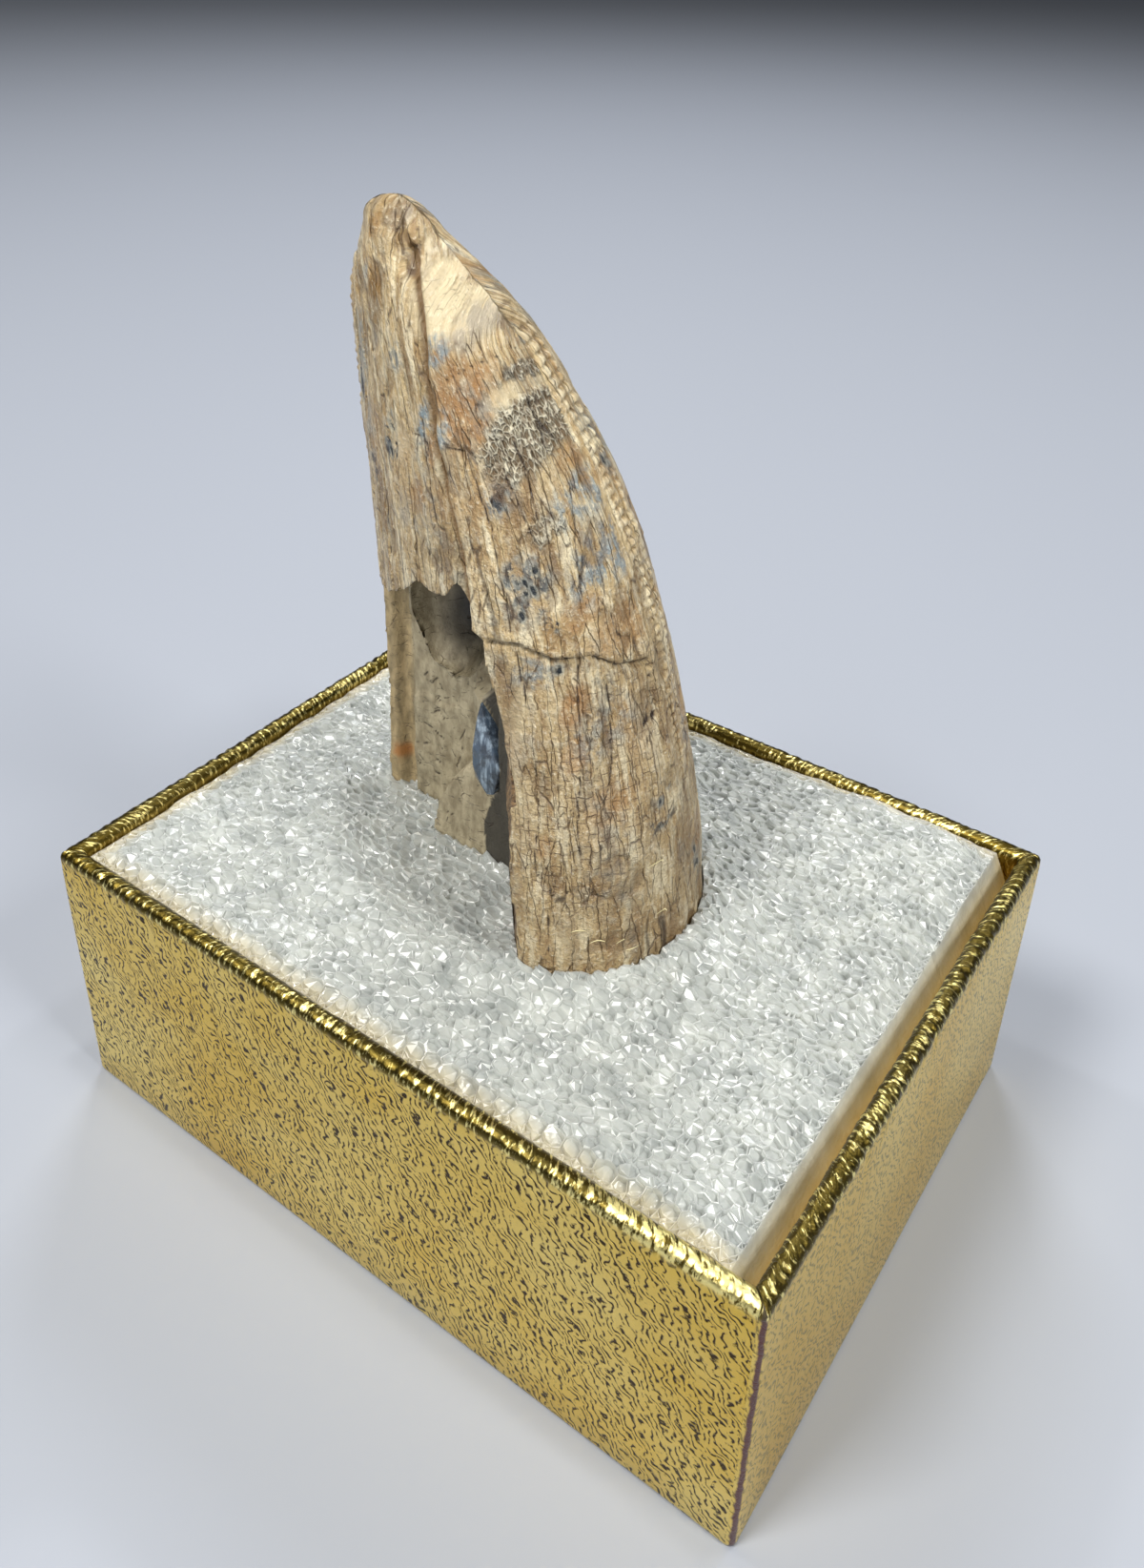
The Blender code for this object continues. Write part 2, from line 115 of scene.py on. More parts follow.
# Relief of the enamel: lumps, streaks, plates between cracks, flaked spots, and pits of the comb patch
LUMP_SIZE = 0.10
LUMP_ACROSS = 0.55
LUMP_ALONG = 0.22
STREAKS = ((0.030, (0.50, 1.0, 7.0), 4.1), (0.022, (0.24, 1.0, 2.2), 8.9))
PLATE_SIZE = (1.05, 1.0, 6.5)
PLATE_RISE = 0.060
FLAKE_SIZE = (1.5, 1.0, 1.9)
FLAKE_DEPTH = 0.085
COMB_SIZE = (0.42, 0.42, 0.50)

# Mesh of the crown
NEAR_COLUMNS = 210
FAR_COLUMNS = 100
ROOT_ROWS = 8
FINE_START = 18.5
BODY_ROWS = 236
TIP_ROWS = 22

# The long split up the near face, and the joint across it
STEP_HEIGHTS = (9.5, 43.5, 53.0, 56.5, 59.2)
STEP_FRACTIONS = (0.71, 0.68, 0.70, 0.77, 0.87)
STEP_RISE = 0.40
STEP_FADE = (0.36, 0.47)
STEP_WIDTH = 0.16
SPLIT_DEPTH = 0.30
SPLIT_WIDTH = 0.30
SPLIT_CORE_WIDTH = 0.15
SPLIT_WAVER = 0.14
JOINT_LINE = (
    (0.8, 40.4), (2.5, 40.6), (4.0, 39.9), (5.7, 39.8), (6.7, 38.9), (7.4, 38.2), (9.0, 37.8),
)
JOINT_DROP = 0.22
JOINT_WAVER = ((0.10, (0.8, 9.0, 9.0), 1.7), (0.06, (0.25, 9.0, 9.0), 2.9))

# Pits and flaked patches: centre x and z, half width, half height, depth
CHIP_EDGE = (0.75, 1.15)
CHIPS = (
    (-10.2, 60.4, 1.5, 1.0, 0.28),
    (-8.2, 58.4, 0.6, 0.95, 0.40),
    (-3.6, 55.9, 1.0, 1.5, 0.14),
    (-3.2, 52.8, 1.5, 1.8, 0.12),
    (0.4, 50.8, 1.5, 1.9, 0.14),
    (-10.1, 54.1, 0.7, 0.9, 0.12),
    (-7.7, 49.1, 0.5, 1.2, 0.12),
)

# Open cracks of the near face as (x, z) lines
CRACKS = (
    ((-1.9, 50.0), (-0.8, 48.0), (0.1, 46.5), (0.8, 44.5), (1.4, 43.0), (1.9, 41.2)),
    ((0.0, 49.2), (0.7, 48.2), (1.7, 46.7), (2.1, 46.1)),
    ((-0.1, 50.7), (0.7, 49.6), (1.5, 48.0), (2.0, 46.9)),
    ((2.7, 48.2), (3.6, 46.0), (4.3, 44.1), (4.6, 43.1)),
    ((5.8, 41.8), (6.3, 40.3), (6.8, 38.9)),
    ((6.3, 38.6), (6.9, 36.5), (7.2, 34.8), (7.4, 33.8), (7.5, 31.0)),
    ((2.3, 40.1), (2.9, 38.1), (3.2, 36.5)),
    ((5.2, 39.4), (5.7, 36.3), (6.3, 32.4), (6.8, 28.3)),
    ((7.1, 38.7), (7.7, 36.5), (8.4, 33.3)),
    ((4.0, 33.9), (4.6, 30.4), (4.8, 26.0)),
    ((5.6, 26.2), (5.8, 23.5), (5.9, 19.4)),
    ((-5.1, 51.1), (-4.4, 48.2), (-3.5, 45.2), (-2.8, 42.7)),
    ((-6.1, 47.6), (-5.4, 44.5), (-4.6, 41.5)),
    ((-9.0, 47.0), (-8.6, 43.5), (-8.2, 39.5)),
    ((-11.3, 50.5), (-11.2, 46.0), (-11.0, 40.5)),
)

# Edges of flakes on the near face, seen as thinner lines
LEDGES = (
    ((-6.8, 50.9), (-6.2, 50.2), (-5.3, 50.1), (-4.6, 49.9), (-4.5, 49.3), (-4.9, 48.7)),
    ((-3.2, 50.1), (-2.6, 50.1), (-1.8, 50.2), (-1.4, 49.9), (-0.8, 49.5), (-0.4, 49.9)),
    ((-4.0, 53.4), (-3.1, 54.1), (-2.2, 54.5), (-1.6, 54.9), (-1.1, 54.6)),
    ((5.7, 25.5), (6.0, 25.8), (6.8, 26.1), (7.2, 26.4), (8.3, 25.4), (8.9, 25.4), (9.5, 25.7)),
    ((5.4, 30.2), (5.7, 31.0), (6.1, 31.2), (6.5, 30.4), (6.6, 29.4)),
    ((4.3, 27.6), (5.0, 26.8), (5.6, 26.2)),
)

# Stains of the near face: kind, centre x and z, half width, half height, strength
STAINS = (
    ("olive", -10.2, 60.1, 2.0, 1.5, 0.8),
    ("silver", -10.2, 60.3, 1.0, 0.7, 1.0),
    ("rust", -11.6, 59.6, 0.6, 0.8, 0.6),
    ("brown", -8.2, 58.4, 0.5, 0.9, 1.0),
    ("pale", -6.6, 57.4, 1.1, 1.5, 1.0),
    ("olive", -10.4, 56.8, 0.8, 1.8, 1.0),
    ("blue", -11.6, 57.2, 0.4, 0.8, 0.6),
    ("silver", -3.7, 55.9, 0.9, 1.4, 0.9),
    ("pale", -5.1, 56.4, 2.1, 1.5, 1.0),
    ("blue", -4.9, 54.7, 0.8, 0.9, 0.9),
    ("rust", -4.6, 54.6, 0.4, 0.7, 0.9),
    ("rust", -3.2, 52.8, 1.7, 1.9, 1.0),
    ("rust", -2.3, 51.4, 1.1, 1.5, 1.0),
    ("pale", -1.2, 52.6, 1.0, 0.9, 0.8),
    ("blue", -3.7, 50.8, 0.9, 1.2, 0.9),
    ("rust", -1.9, 50.9, 0.8, 0.8, 0.8),
    ("olive", -9.9, 55.8, 0.8, 1.5, 0.8),
    ("ink", -7.75, 53.7, 0.35, 0.6, 1.0),
    ("blue", -7.7, 53.7, 0.7, 0.9, 0.6),
    ("ink", -7.8, 49.1, 0.8, 1.7, 1.0),
    ("ink", -12.3, 50.8, 0.5, 1.1, 1.0),
    ("ink", -10.6, 46.2, 0.5, 1.0, 0.8),
    ("olive", -9.6, 44.3, 0.9, 2.4, 0.9),
    ("olive", -12.0, 42.0, 0.7, 1.8, 0.7),
    ("pale", -7.0, 49.3, 1.0, 1.3, 0.8),
    ("blue", -5.0, 51.0, 0.5, 1.6, 1.0),
    ("rust", -4.3, 49.6, 0.5, 0.9, 0.8),
    ("silver", -10.1, 54.1, 0.5, 0.8, 0.8),
    ("blue", -12.1, 52.3, 1.2, 3.0, 0.8),
    ("blue", -11.0, 48.0, 1.0, 2.5, 0.5),
    ("silver", -6.4, 45.6, 0.6, 1.3, 0.7),
    ("rust", -5.4, 46.7, 0.8, 1.2, 0.7),
    ("comb", 0.2, 50.9, 1.7, 2.3, 1.0),
    ("comb", -1.2, 53.7, 0.6, 0.5, 0.9),
    ("comb", 2.4, 46.6, 0.8, 1.0, 0.6),
    ("rust", 2.2, 50.0, 0.5, 1.0, 0.7),
    ("ink", 0.1, 48.0, 0.5, 0.7, 0.9),
    ("blue", 0.1, 48.0, 0.9, 1.2, 0.7),
    ("blue", 3.1, 48.0, 0.9, 1.8, 0.9),
    ("blue", 4.7, 45.0, 1.0, 2.6, 0.9),
    ("ink", 1.7, 44.4, 0.5, 1.3, 1.0),
    ("ink", 2.5, 43.2, 0.9, 1.7, 0.8),
    ("blue", 2.2, 43.6, 1.4, 2.2, 0.7),
    ("ink", 3.8, 42.0, 0.4, 0.6, 1.0),
    ("rust", 4.8, 42.2, 0.6, 1.0, 0.8),
    ("rust", 6.3, 40.9, 1.0, 1.6, 0.6),
    ("ink", 4.4, 39.4, 0.6, 0.4, 0.7),
    ("blue", 3.2, 39.0, 1.2, 1.1, 0.7),
    ("rust", 5.4, 37.1, 0.6, 1.4, 1.0),
    ("rust", 5.8, 34.4, 0.7, 1.4, 0.7),
    ("blue", 6.6, 35.6, 1.2, 1.8, 0.45),
    ("pale", 2.8, 36.4, 0.6, 2.4, 0.6),
    ("rust", 7.6, 31.2, 0.9, 1.4, 0.6),
    ("ink", 9.3, 30.3, 0.25, 0.5, 0.8),
    ("ink", 9.3, 28.9, 0.25, 0.5, 0.8),
    ("rust", 5.0, 28.8, 0.5, 0.9, 0.6),
    ("brick", 6.4, 30.0, 3.2, 6.5, 1.0),
    ("brick", 7.4, 37.0, 2.4, 3.0, 0.6),
    ("pale", 6.8, 23.4, 1.0, 2.2, 0.4),
)

# How strong the stray patches of each kind of stain are
STRAY_STAINS = {
    "silver": 0.35, "brown": 0.0, "pale": 0.5, "blue": 0.6, "rust": 0.6, "ink": 0.5, "comb": 0.0,
    "brick": 0.8, "olive": 0.0,
}

# Serrated edges: pitch of the denticles, and where each one starts and ends
DENTICLE_PITCH = 0.55
MESIAL_SERRATION = (30.0, 57.0)
MESIAL_TURN = 0.535
DISTAL_SERRATION = (39.6, 57.5)
DISTAL_TURN = 0.0078
SERRATION_HALF_WIDTH = 1.5
SERRATION_COLUMNS = 30
CARINA_RISE = 0.07
CARINA_SET = 0.02
CARINA_WIDTH = 0.40
DENTICLE_RISE = 0.42
DENTICLE_REACH = 1.05
SERRATION_SINK = 0.16
ROWS_PER_DENTICLE = 8
RIB_BEND = 0.10
EDGE_SEARCH = 0.12
EDGE_SEARCH_STEPS = 120

# Splinters that stand off the lower enamel: start and end as (x, z), and bow; all of one thickness
FIBRES = (
    ((7.0, 23.4), (7.7, 23.5), 0.10),
    ((7.9, 22.6), (8.6, 22.6), 0.18),
    ((9.0, 22.3), (9.3, 22.5), 0.05),
    ((9.5, 26.7), (9.9, 26.7), 0.06),
    ((10.1, 23.3), (10.4, 23.2), 0.05),
    ((9.4, 21.7), (9.8, 21.7), -0.05),
)
FIBRE_RADIUS = 0.035
FIBRE_STAND = 0.10

# Cells of the foam's cut top, its smooth sides, and how tight its slot is
FOAM_CELLS = (76, 57)
FOAM_JITTER = 0.42
FOAM_MERGED = 0.22
FOAM_RIM_JITTER = 0.16
CELL_RIM = 0.035
CELL_FLOOR = 0.10
CELL_SINK = 0.12
CELL_TILT = 0.60
SHOULDER_DEPTH = 2.6
DULL_FILM = 0.3
SLOT_CLEARANCE = 0.05

# Mesh of the foil, its dents and its seam; places round the box are in mm from the front corner
FOIL_COLUMNS = 1500
FOIL_FOOT = ((0.35, 0.0), (0.10, 0.06), (0.0, 0.35))
FOIL_LEVELS = 7
FOIL_INNER_ROW = 17.0
HEM_STEPS = 6
RIM_FEET = (0.9, 0.45, 0.15)
RIM_STEPS = 12
WALL_DENT = 0.06
SEAM_TRAVEL = 0.65
# Stretch of the rim near the front corner that gets more painted glints
RIM_PAINTED_GLINTS = (167.0, 178.0)
GROOVE_TURN = -33.0

# Broken-out wall: the ragged top of the gap, its right edge, and the depth of what lies behind
WINDOW_LEFT = -17.0
WINDOW_FRONT = -20.0
WINDOW_FLOOR = 6.0
WINDOW_CEILING = 41.0
WINDOW_COLUMNS = 92
WINDOW_ROWS_LOW = 8
WINDOW_ROWS = 108
WALL_LAYERS = 22
WALL_START = -10.5
WINDOW_TOP = (
    (-17.0, 35.4), (-14.2, 36.0), (-11.5, 37.9), (-10.2, 38.7), (-9.1, 38.2), (-7.5, 39.0),
    (-5.6, 40.4), (-4.3, 41.5), (-3.1, 41.6), (-2.0, 41.8), (-1.1, 43.2), (-0.5, 42.0),
    (0.2, 41.0), (1.0, 40.5),
)
WINDOW_EDGE = (
    (6.0, 3.9), (20.0, 3.8), (23.0, 3.7), (25.9, 3.2), (28.3, 3.3), (31.6, 3.3), (34.0, 2.7),
    (36.5, 2.0), (38.8, 1.2), (43.5, 1.0),
)
WALL_SPAN = 6.0
TOP_SPLINTERS = ((0.22, (0.5, 2.5, 1.0), 3.7), (0.30, (1.6, 3.0, 1.0), 9.1))
EDGE_BITES = ((0.10, (1.0, 1.2, 0.5), 5.3), (0.16, (1.0, 2.0, 1.7), 1.9))
EDGE_SLANT = 0.87
SLANT_START = 0.35
EDGE_CLEARANCE_SHARE = 1.6
EDGE_FACE = -9.0
FILLING_FACE = (
    (-17.0, -0.45), (-13.3, -0.4), (-12.9, 0.4), (-12.3, 0.5), (-12.0, -0.1), (-6.3, -0.1),
    (-5.9, -1.0), (-4.9, -1.6), (-3.6, -1.2), (-3.0, -2.2), (4.0, -2.4),
)
CHUNK_TOP = (
    (-8.4, 19.5), (-7.9, 22.2), (-6.8, 24.3), (-5.3, 26.0), (-3.7, 24.6), (-2.9, 24.8), (4.0, 24.0),
)
CHUNK_LEFT = -8.3
CHUNK_FACE = -2.6
CHUNK_SLOPE = 0.10
CRYSTAL_TOP = 31.0
CRYSTAL_LEFT = -6.1
CRYSTAL_DEPTH = 0.2
FILLING_ROUGHNESS = 0.15
BREAK_ROUGHNESS = ((0.10, (0.7, 0.7, 1.3), 71.0), (0.05, (0.25, 0.25, 0.4), 73.0))

# Hairline cracks of the filling as (x, z) lines, and a sunk area of it
PANEL_CRACKS = (
    ((-11.4, 25.5), (-10.3, 25.4), (-9.4, 25.0)),
    ((-10.7, 23.1), (-10.1, 23.0), (-9.7, 22.9)),
    ((-12.1, 22.3), (-11.5, 22.0), (-11.0, 22.0)),
    ((-10.5, 21.7), (-9.0, 22.0)),
    ((-11.1, 29.2), (-10.7, 29.8)),
    ((-10.3, 29.1), (-9.9, 29.6)),
    ((-8.6, 30.3), (-8.3, 30.8)),
    ((-10.5, 26.5), (-9.9, 27.1), (-9.3, 26.6)),
    ((-10.1, 28.1), (-9.8, 27.8)),
    ((-11.9, 23.6), (-10.7, 24.0)),
    ((-9.6, 24.1), (-9.1, 24.0)),
    ((-7.8, 24.9), (-8.0, 25.5), (-7.5, 26.6)),
    ((-7.9, 24.2), (-8.3, 23.3)),
    ((-7.3, 21.4), (-6.6, 21.4)),
)
PANEL_SUNK = (
    (-12.2, 27.2), (-11.7, 27.8), (-10.8, 28.1), (-9.8, 27.5), (-8.0, 28.2), (-7.3, 33.5), (-12.2, 34.0),
)
PANEL_SUNK_DEPTH = 0.12

# Crystal in the filling: its outline, and points of its face with how far each stands out
CRYSTAL_RIM = (
    (-4.8, 30.8), (-3.9, 29.2), (-2.9, 26.6), (-3.4, 24.4), (-4.0, 24.2), (-5.0, 25.2), (-6.2, 25.9),
    (-5.9, 27.2), (-5.2, 29.3),
)
CRYSTAL_RIDGE = (
    (-4.8, 29.8, 0.50), (-4.2, 27.8, 0.95), (-4.9, 27.6, 0.80), (-5.5, 26.7, 0.55), (-4.4, 25.9, 0.95),
    (-3.6, 26.4, 0.90), (-4.0, 29.0, 0.70), (-4.9, 26.2, 0.80),
)
CRYSTAL_PLANE = ((CRYSTAL_LEFT, -0.6), (-2.9, -1.7))
CRYSTAL_RIM_RISE = 0.05
CRYSTAL_BURIED = 0.5

# Hollow end of the pulp cavity behind the hanging strip, the painted shade in it and in the cleft beside
# it, and an amber spot
HOLLOW_CENTRE = (-8.4, -0.56, 36.3)
HOLLOW_RADII = (3.4, 3.6, 6.0)
HOLLOW_SEGMENTS = 40
HOLLOW_RINGS = 24
HOLLOW_SWELL = 0.12
CAVITY_SHADE_PATCH = (-8.5, 34.6, 2.3, 3.2)
CLEFT_SHADE_OUTLINE = (
    (-5.6, 34.0), (-4.85, 31.0), (-3.9, 29.0), (-2.9, 26.6), (-3.4, 24.4), (-3.6, 24.1), (-4.1, 21.9),
    (-3.6, 19.0), (4.0, 19.0), (4.0, 41.0), (-5.6, 41.0),
)
CLEFT_SHADE_STRENGTH = 0.92
AMBER_SPOT = (-13.2, 22.4, 0.7, 0.9)

# How stains look: kind, colour, and where the blotches start and end to let it show
STAIN_LOOKS = (
    ("pale", "#D3C39E", 0.20, 0.45),
    ("rust", "#A98050", 0.80, 0.45),
    ("blue", "#87959A", 0.42, 0.56),
    ("silver", "#A69A86", 0.30, 0.50),
    ("olive", "#85642E", 0.75, 0.40),
    ("brown", "#4E3018", 0.05, 0.20),
    ("ink", "#17222E", 0.49, 0.55),
)

# Noises of the enamel: name, places that they are read at, scale, detail and shift
ENAMEL_SHAKE = 0.42
ENAMEL_NOISES = (
    ("broad", "grain", (0.40, 0.20, 0.0), 5.0, 0.0),
    ("strips", "shaken", (1.8, 0.25, 0.0), 5.0, 7.0),
    ("fine", "shaken", (6.0, 2.2, 0.0), 5.0, 3.0),
    ("speckle", "grain", (4.0, 3.4, 0.0), 7.0, 11.0),
    ("blotch", "shaken", (1.5, 1.1, 0.0), 6.0, 15.0),
)

# Coats over the enamel's ground colour: noise, where it starts and ends to show, how far, colour
ENAMEL_COATS = (
    ("strips", 0.48, 0.36, 0.70, "#9C7B4E"),
    ("blotch", 0.54, 0.68, 0.75, "#E8DABA"),
    ("level", 42.0, 33.0, 0.24, "#7A6548"),
)

# Studio: floor, and lamps as name, place and size in metres, watts and tint
FLOOR_HALF = 3.0
LAMP_AIM = (0.0, 0.0, 0.025)
LAMPS = (
    ("key", (-0.12, -0.30, 0.52), (0.16, 0.16), 3.0, "#FFFDF8"),
    ("side", (0.42, -0.02, 0.40), (0.14, 0.14), 2.0, "#FBFAF6"),
    ("back", (-0.25, 0.35, 0.45), (0.16, 0.16), 1.3, "#F6F9FF"),
    ("front", (0.30, -0.60, 0.25), (0.30, 0.20), 0.9, "#FFFFFF"),
    ("glint_a", (0.05, 0.02, 0.60), (0.03, 0.03), 0.5, "#FFFFFF"),
    ("glint_b", (-0.32, -0.05, 0.45), (0.03, 0.03), 0.4, "#FFFFFF"),
    ("glint_c", (0.12, 0.35, 0.40), (0.03, 0.03), 0.4, "#FFFFFF"),
)

# Camera: place in mm, its right and up directions, focal length in pixels, middle of the view
CAMERA_PLACE = (38.569, -54.582, 77.697)
CAMERA_RIGHT = (0.81413, 0.58023, 0.02303)
CAMERA_UP = (-0.28799, 0.36902, 0.88368)
FOCAL_PIXELS = 1375.49
VIEW_CENTRE_V = 578.14
IMAGE_SIZE = (1200, 1645)
SENSOR = 36.0


def paint(code):
    """Turn an sRGB hex colour into linear RGBA."""
    parts = [int(code[place:place + 2], 16) / 255.0 for place in (1, 3, 5)]
    linear = [part / 12.92 if part <= 0.04045 else ((part + 0.055) / 1.055) ** 2.4 for part in parts]
    return (*linear, 1.0)


def add_node(tree, kind, inputs=None, **settings):
    """Add a node, set its fields, and fill its sockets with values or links."""
    node = tree.nodes.new(kind)
    for field, value in settings.items():
        setattr(node, field, value)
    for socket, value in (inputs or {}).items():
        if isinstance(value, bpy.types.NodeSocket):
            tree.links.new(value, node.inputs[socket])
        else:
            node.inputs[socket].default_value = value
    return node


def new_material(name):
    """An empty node material and its tree."""
    material = bpy.data.materials.new(name)
    material.use_nodes = True
    material.node_tree.nodes.clear()
    return material, material.node_tree


def blend_steps(low, high, value):
    """Rise smoothly from 0 at low to 1 at high, for numbers and arrays."""
    share = np.clip((value - low) / (high - low), 0.0, 1.0)
    return share * share * (3.0 - 2.0 * share)


def oval_reach(x, y, centre, radii):
    """Distance from the middle of an oval, 1 on its outline, for numbers and arrays."""
    return np.sqrt(((x - centre[0]) / radii[0]) ** 2 + ((y - centre[1]) / radii[1]) ** 2)


def straight_line(points, position):
    """Read a broken line through (position, value) points, for numbers and arrays."""
    return np.interp(position, [point[0] for point in points], [point[1] for point in points])


def smooth_line(positions, values, position):
    """Read a smooth curve through the values, with slopes taken from their neighbours."""
    spans = [b - a for a, b in zip(positions, positions[1:])]
    slopes = [(b - a) / span for a, b, span in zip(values, values[1:], spans)]
    tangents = [slopes[0]]
    for index in range(1, len(slopes)):
        before, after = spans[index - 1], spans[index]
        tangents.append((slopes[index - 1] * after + slopes[index] * before) / (before + after))
    tangents.append(slopes[-1])
    position = min(max(position, positions[0]), positions[-1])
    index = 0
    while index < len(spans) - 1 and position > positions[index + 1]:
        index += 1
    span = spans[index]
    t = (position - positions[index]) / span
    start = (2 * t**3 - 3 * t**2 + 1) * values[index] + (t**3 - 2 * t**2 + t) * span * tangents[index]
    end = (3 * t**2 - 2 * t**3) * values[index + 1] + (t**3 - t**2) * span * tangents[index + 1]
    return start + end


def noise_field(points, sizes, seed=0.0):
    """Smooth noise from -1 to 1 at each point; sizes are a lump's size in mm along each axis."""
    scaled = (points / np.asarray(sizes) + seed).tolist()
    return np.array([noise.noise(point) for point in scaled])


def layered_noise(points, layers):
    """Sum of noises, each given by its strength, its lump sizes in mm and its seed."""
    return sum(strength * noise_field(points, sizes, seed) for strength, sizes, seed in layers)


def bell(distance, width):
    """1 where a distance is 0, about a third at the width and almost 0 at twice the width."""
    return np.exp(-((distance / width) ** 2))


def cell_field(points, sizes, seed=0.0):
    """Distance to the border of each point's cell, as a share of the cell, and a number for the cell."""
    border = np.empty(len(points))
    number = np.empty(len(points))
    for index, point in enumerate((points / np.asarray(sizes) + seed).tolist()):
        distances, centres = noise.voronoi(point)
        border[index] = distances[1] - distances[0]
        number[index] = noise.cell(centres[0] * 97.31)
    return border, number


def line_reach(x, z, line):
    """Distance from each (x, z) to a broken line."""
    reach = np.full(len(x), 1e9)
    for (ax, az), (bx, bz) in zip(line, line[1:]):
        dx, dz = bx - ax, bz - az
        share = np.clip(((x - ax) * dx + (z - az) * dz) / (dx * dx + dz * dz), 0.0, 1.0)
        reach = np.minimum(reach, np.hypot(x - ax - share * dx, z - az - share * dz))
    return reach


def inside_outline(x, z, outline):
    """Which (x, z) lie inside a closed outline."""
    inside = np.zeros(len(x), bool)
    for (ax, az), (bx, bz) in zip(outline, outline[1:] + outline[:1]):
        crosses = (az > z) != (bz > z)
        inside ^= crosses & (x < (bx - ax) * (z - az) / (bz - az) + ax)
    return inside


def mesh_points(mesh):
    """Vertex places of a mesh as rows."""
    flat = np.empty(len(mesh.vertices) * 3)
    mesh.vertices.foreach_get("co", flat)
    return flat.reshape(-1, 3)


def move_points(mesh, points):
    """Put the vertices of a mesh at new places."""
    mesh.vertices.foreach_set("co", points.astype(np.float32).ravel())
    mesh.update()


def point_normals(mesh):
    """Vertex normals of a mesh as rows."""
    flat = np.empty(len(mesh.vertices) * 3, np.float32)
    mesh.vertex_normals.foreach_get("vector", flat)
    return flat.reshape(-1, 3).astype(float)


def add_values(mesh, name, values):
    """Store one number, or three, for each vertex under a name that materials read."""
    kind = "FLOAT" if values.ndim == 1 else "FLOAT_VECTOR"
    layer = mesh.attributes.new(name, kind, "POINT")
    layer.data.foreach_set("value" if kind == "FLOAT" else "vector", values.astype(np.float32).ravel())


def place_vertices(bm, places):
    """Put the vertices of a bmesh at the places given as rows."""
    for vert, place in zip(bm.verts, places.tolist()):
        vert.co = place


def only(kind, items):
    """Those results of a bmesh operator that are of one kind."""
    return [item for item in items if isinstance(item, kind)]


def close_tube(bm):
    """Join the seam of a sheet that was rolled up, and close its two ends."""
    bmesh.ops.remove_doubles(bm, verts=bm.verts, dist=0.0005)
    bmesh.ops.holes_fill(bm, edges=[edge for edge in bm.edges if edge.is_boundary])


def smooth_faces(bm):
    """Shade every face smoothly."""
    for face in bm.faces:
        face.smooth = True


def object_from(name, bm, materials):
    """Turn a bmesh in millimetres into an object, faces pointing out."""
    bmesh.ops.recalc_face_normals(bm, faces=bm.faces)
    mesh = bpy.data.meshes.new(name)
    bm.to_mesh(mesh)
    bm.free()
    for material in materials:
        mesh.materials.append(material)
    item = bpy.data.objects.new(name, mesh)
    bpy.context.scene.collection.objects.link(item)
    return item


def apply_modifiers(item):
    """Replace an object's mesh by what its modifiers make of it."""
    evaluated = item.evaluated_get(bpy.context.evaluated_depsgraph_get())
    made = bpy.data.meshes.new_from_object(evaluated)
    item.modifiers.clear()
    old = item.data
    item.data = made
    bpy.data.meshes.remove(old)


def cut_away(target, cutter):
    """Cut one object out of another and throw the cutter away."""
    modifier = target.modifiers.new(cutter.name, "BOOLEAN")
    modifier.operation = "DIFFERENCE"
    modifier.object = cutter
    modifier.solver = "MANIFOLD"
    apply_modifiers(target)
    bpy.data.objects.remove(cutter, do_unlink=True)


def finish_piece(item):
    """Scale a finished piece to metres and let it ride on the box."""
    item.data.transform(Matrix.Scale(MM, 4))
    item.data.update()
    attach(item, "root")
    return item


def crown_section(height):
    """Distal edge, mesial edge and half thickness of the crown at a height."""
    level = min(max(height, ROOT_END), TIP_START)
    distal = smooth_line(OUTLINE_HEIGHTS, DISTAL_EDGE, level)
    mesial = smooth_line(OUTLINE_HEIGHTS, MESIAL_EDGE, level)
    upward = min(max((level - FOAM_LEVEL) / (TIP_START - FOAM_LEVEL), 0.0), 1.0)
    ratio = BASE_THICKNESS_RATIO + (TIP_THICKNESS_RATIO - BASE_THICKNESS_RATIO) * upward
    if height > TIP_START:
        rise = (height - TIP_START) / (TIP_HEIGHT - TIP_START)
        dome = 1.0 - sqrt(max(0.0, 1.0 - rise * rise))
        distal += (TIP_X - distal) * dome
        mesial += (TIP_X - mesial) * (dome + TIP_SLOPE_SHARE * (rise - dome))
    return distal, mesial, 0.5 * ratio * (mesial - distal)


SECTION_HEIGHTS = np.arange(ROOT_END - 0.5, TIP_HEIGHT, 0.02)
SECTIONS = np.array([crown_section(float(height)) for height in SECTION_HEIGHTS])


def section_at(heights):
    """Distal edge, mesial edge and half thickness for an array of heights."""
    return [np.interp(heights, SECTION_HEIGHTS, SECTIONS[:, column]) for column in range(3)]


def swell_at(fraction):
    """Share of the thickness that the teardrop section has at a share of its length."""
    widest = DISTAL_TAPER / (DISTAL_TAPER + MESIAL_TAPER)
    return (fraction / widest) ** DISTAL_TAPER * ((1.0 - fraction) / (1.0 - widest)) ** MESIAL_TAPER


def edge_reaches():
    """Share of the girth between the mesial edge and points at even turns, along the section."""
    turns = np.linspace(0.0, 0.5, 801)
    fractions = 0.5 * (1.0 - np.cos(2.0 * pi * turns))
    outline = np.stack([fractions, 0.5 * BASE_THICKNESS_RATIO * swell_at(fractions)], axis=1)
    steps = np.linalg.norm(np.diff(outline, axis=0), axis=1)
    reach = np.concatenate([[0.0], np.cumsum(steps)])
    return fractions, 1.0 - reach / reach[-1]


def crown_points(fraction, side, height):
    """Points of the plain crown; side is -1 for the near face."""
    distal, mesial, thickness = section_at(height)
    x = distal + (mesial - distal) * fraction
    midline = MIDLINE_Y + MIDLINE_SLOPE * (fraction - 0.5) * (mesial - distal)
    return np.stack([x, midline + side * thickness * swell_at(fraction), height], axis=1)


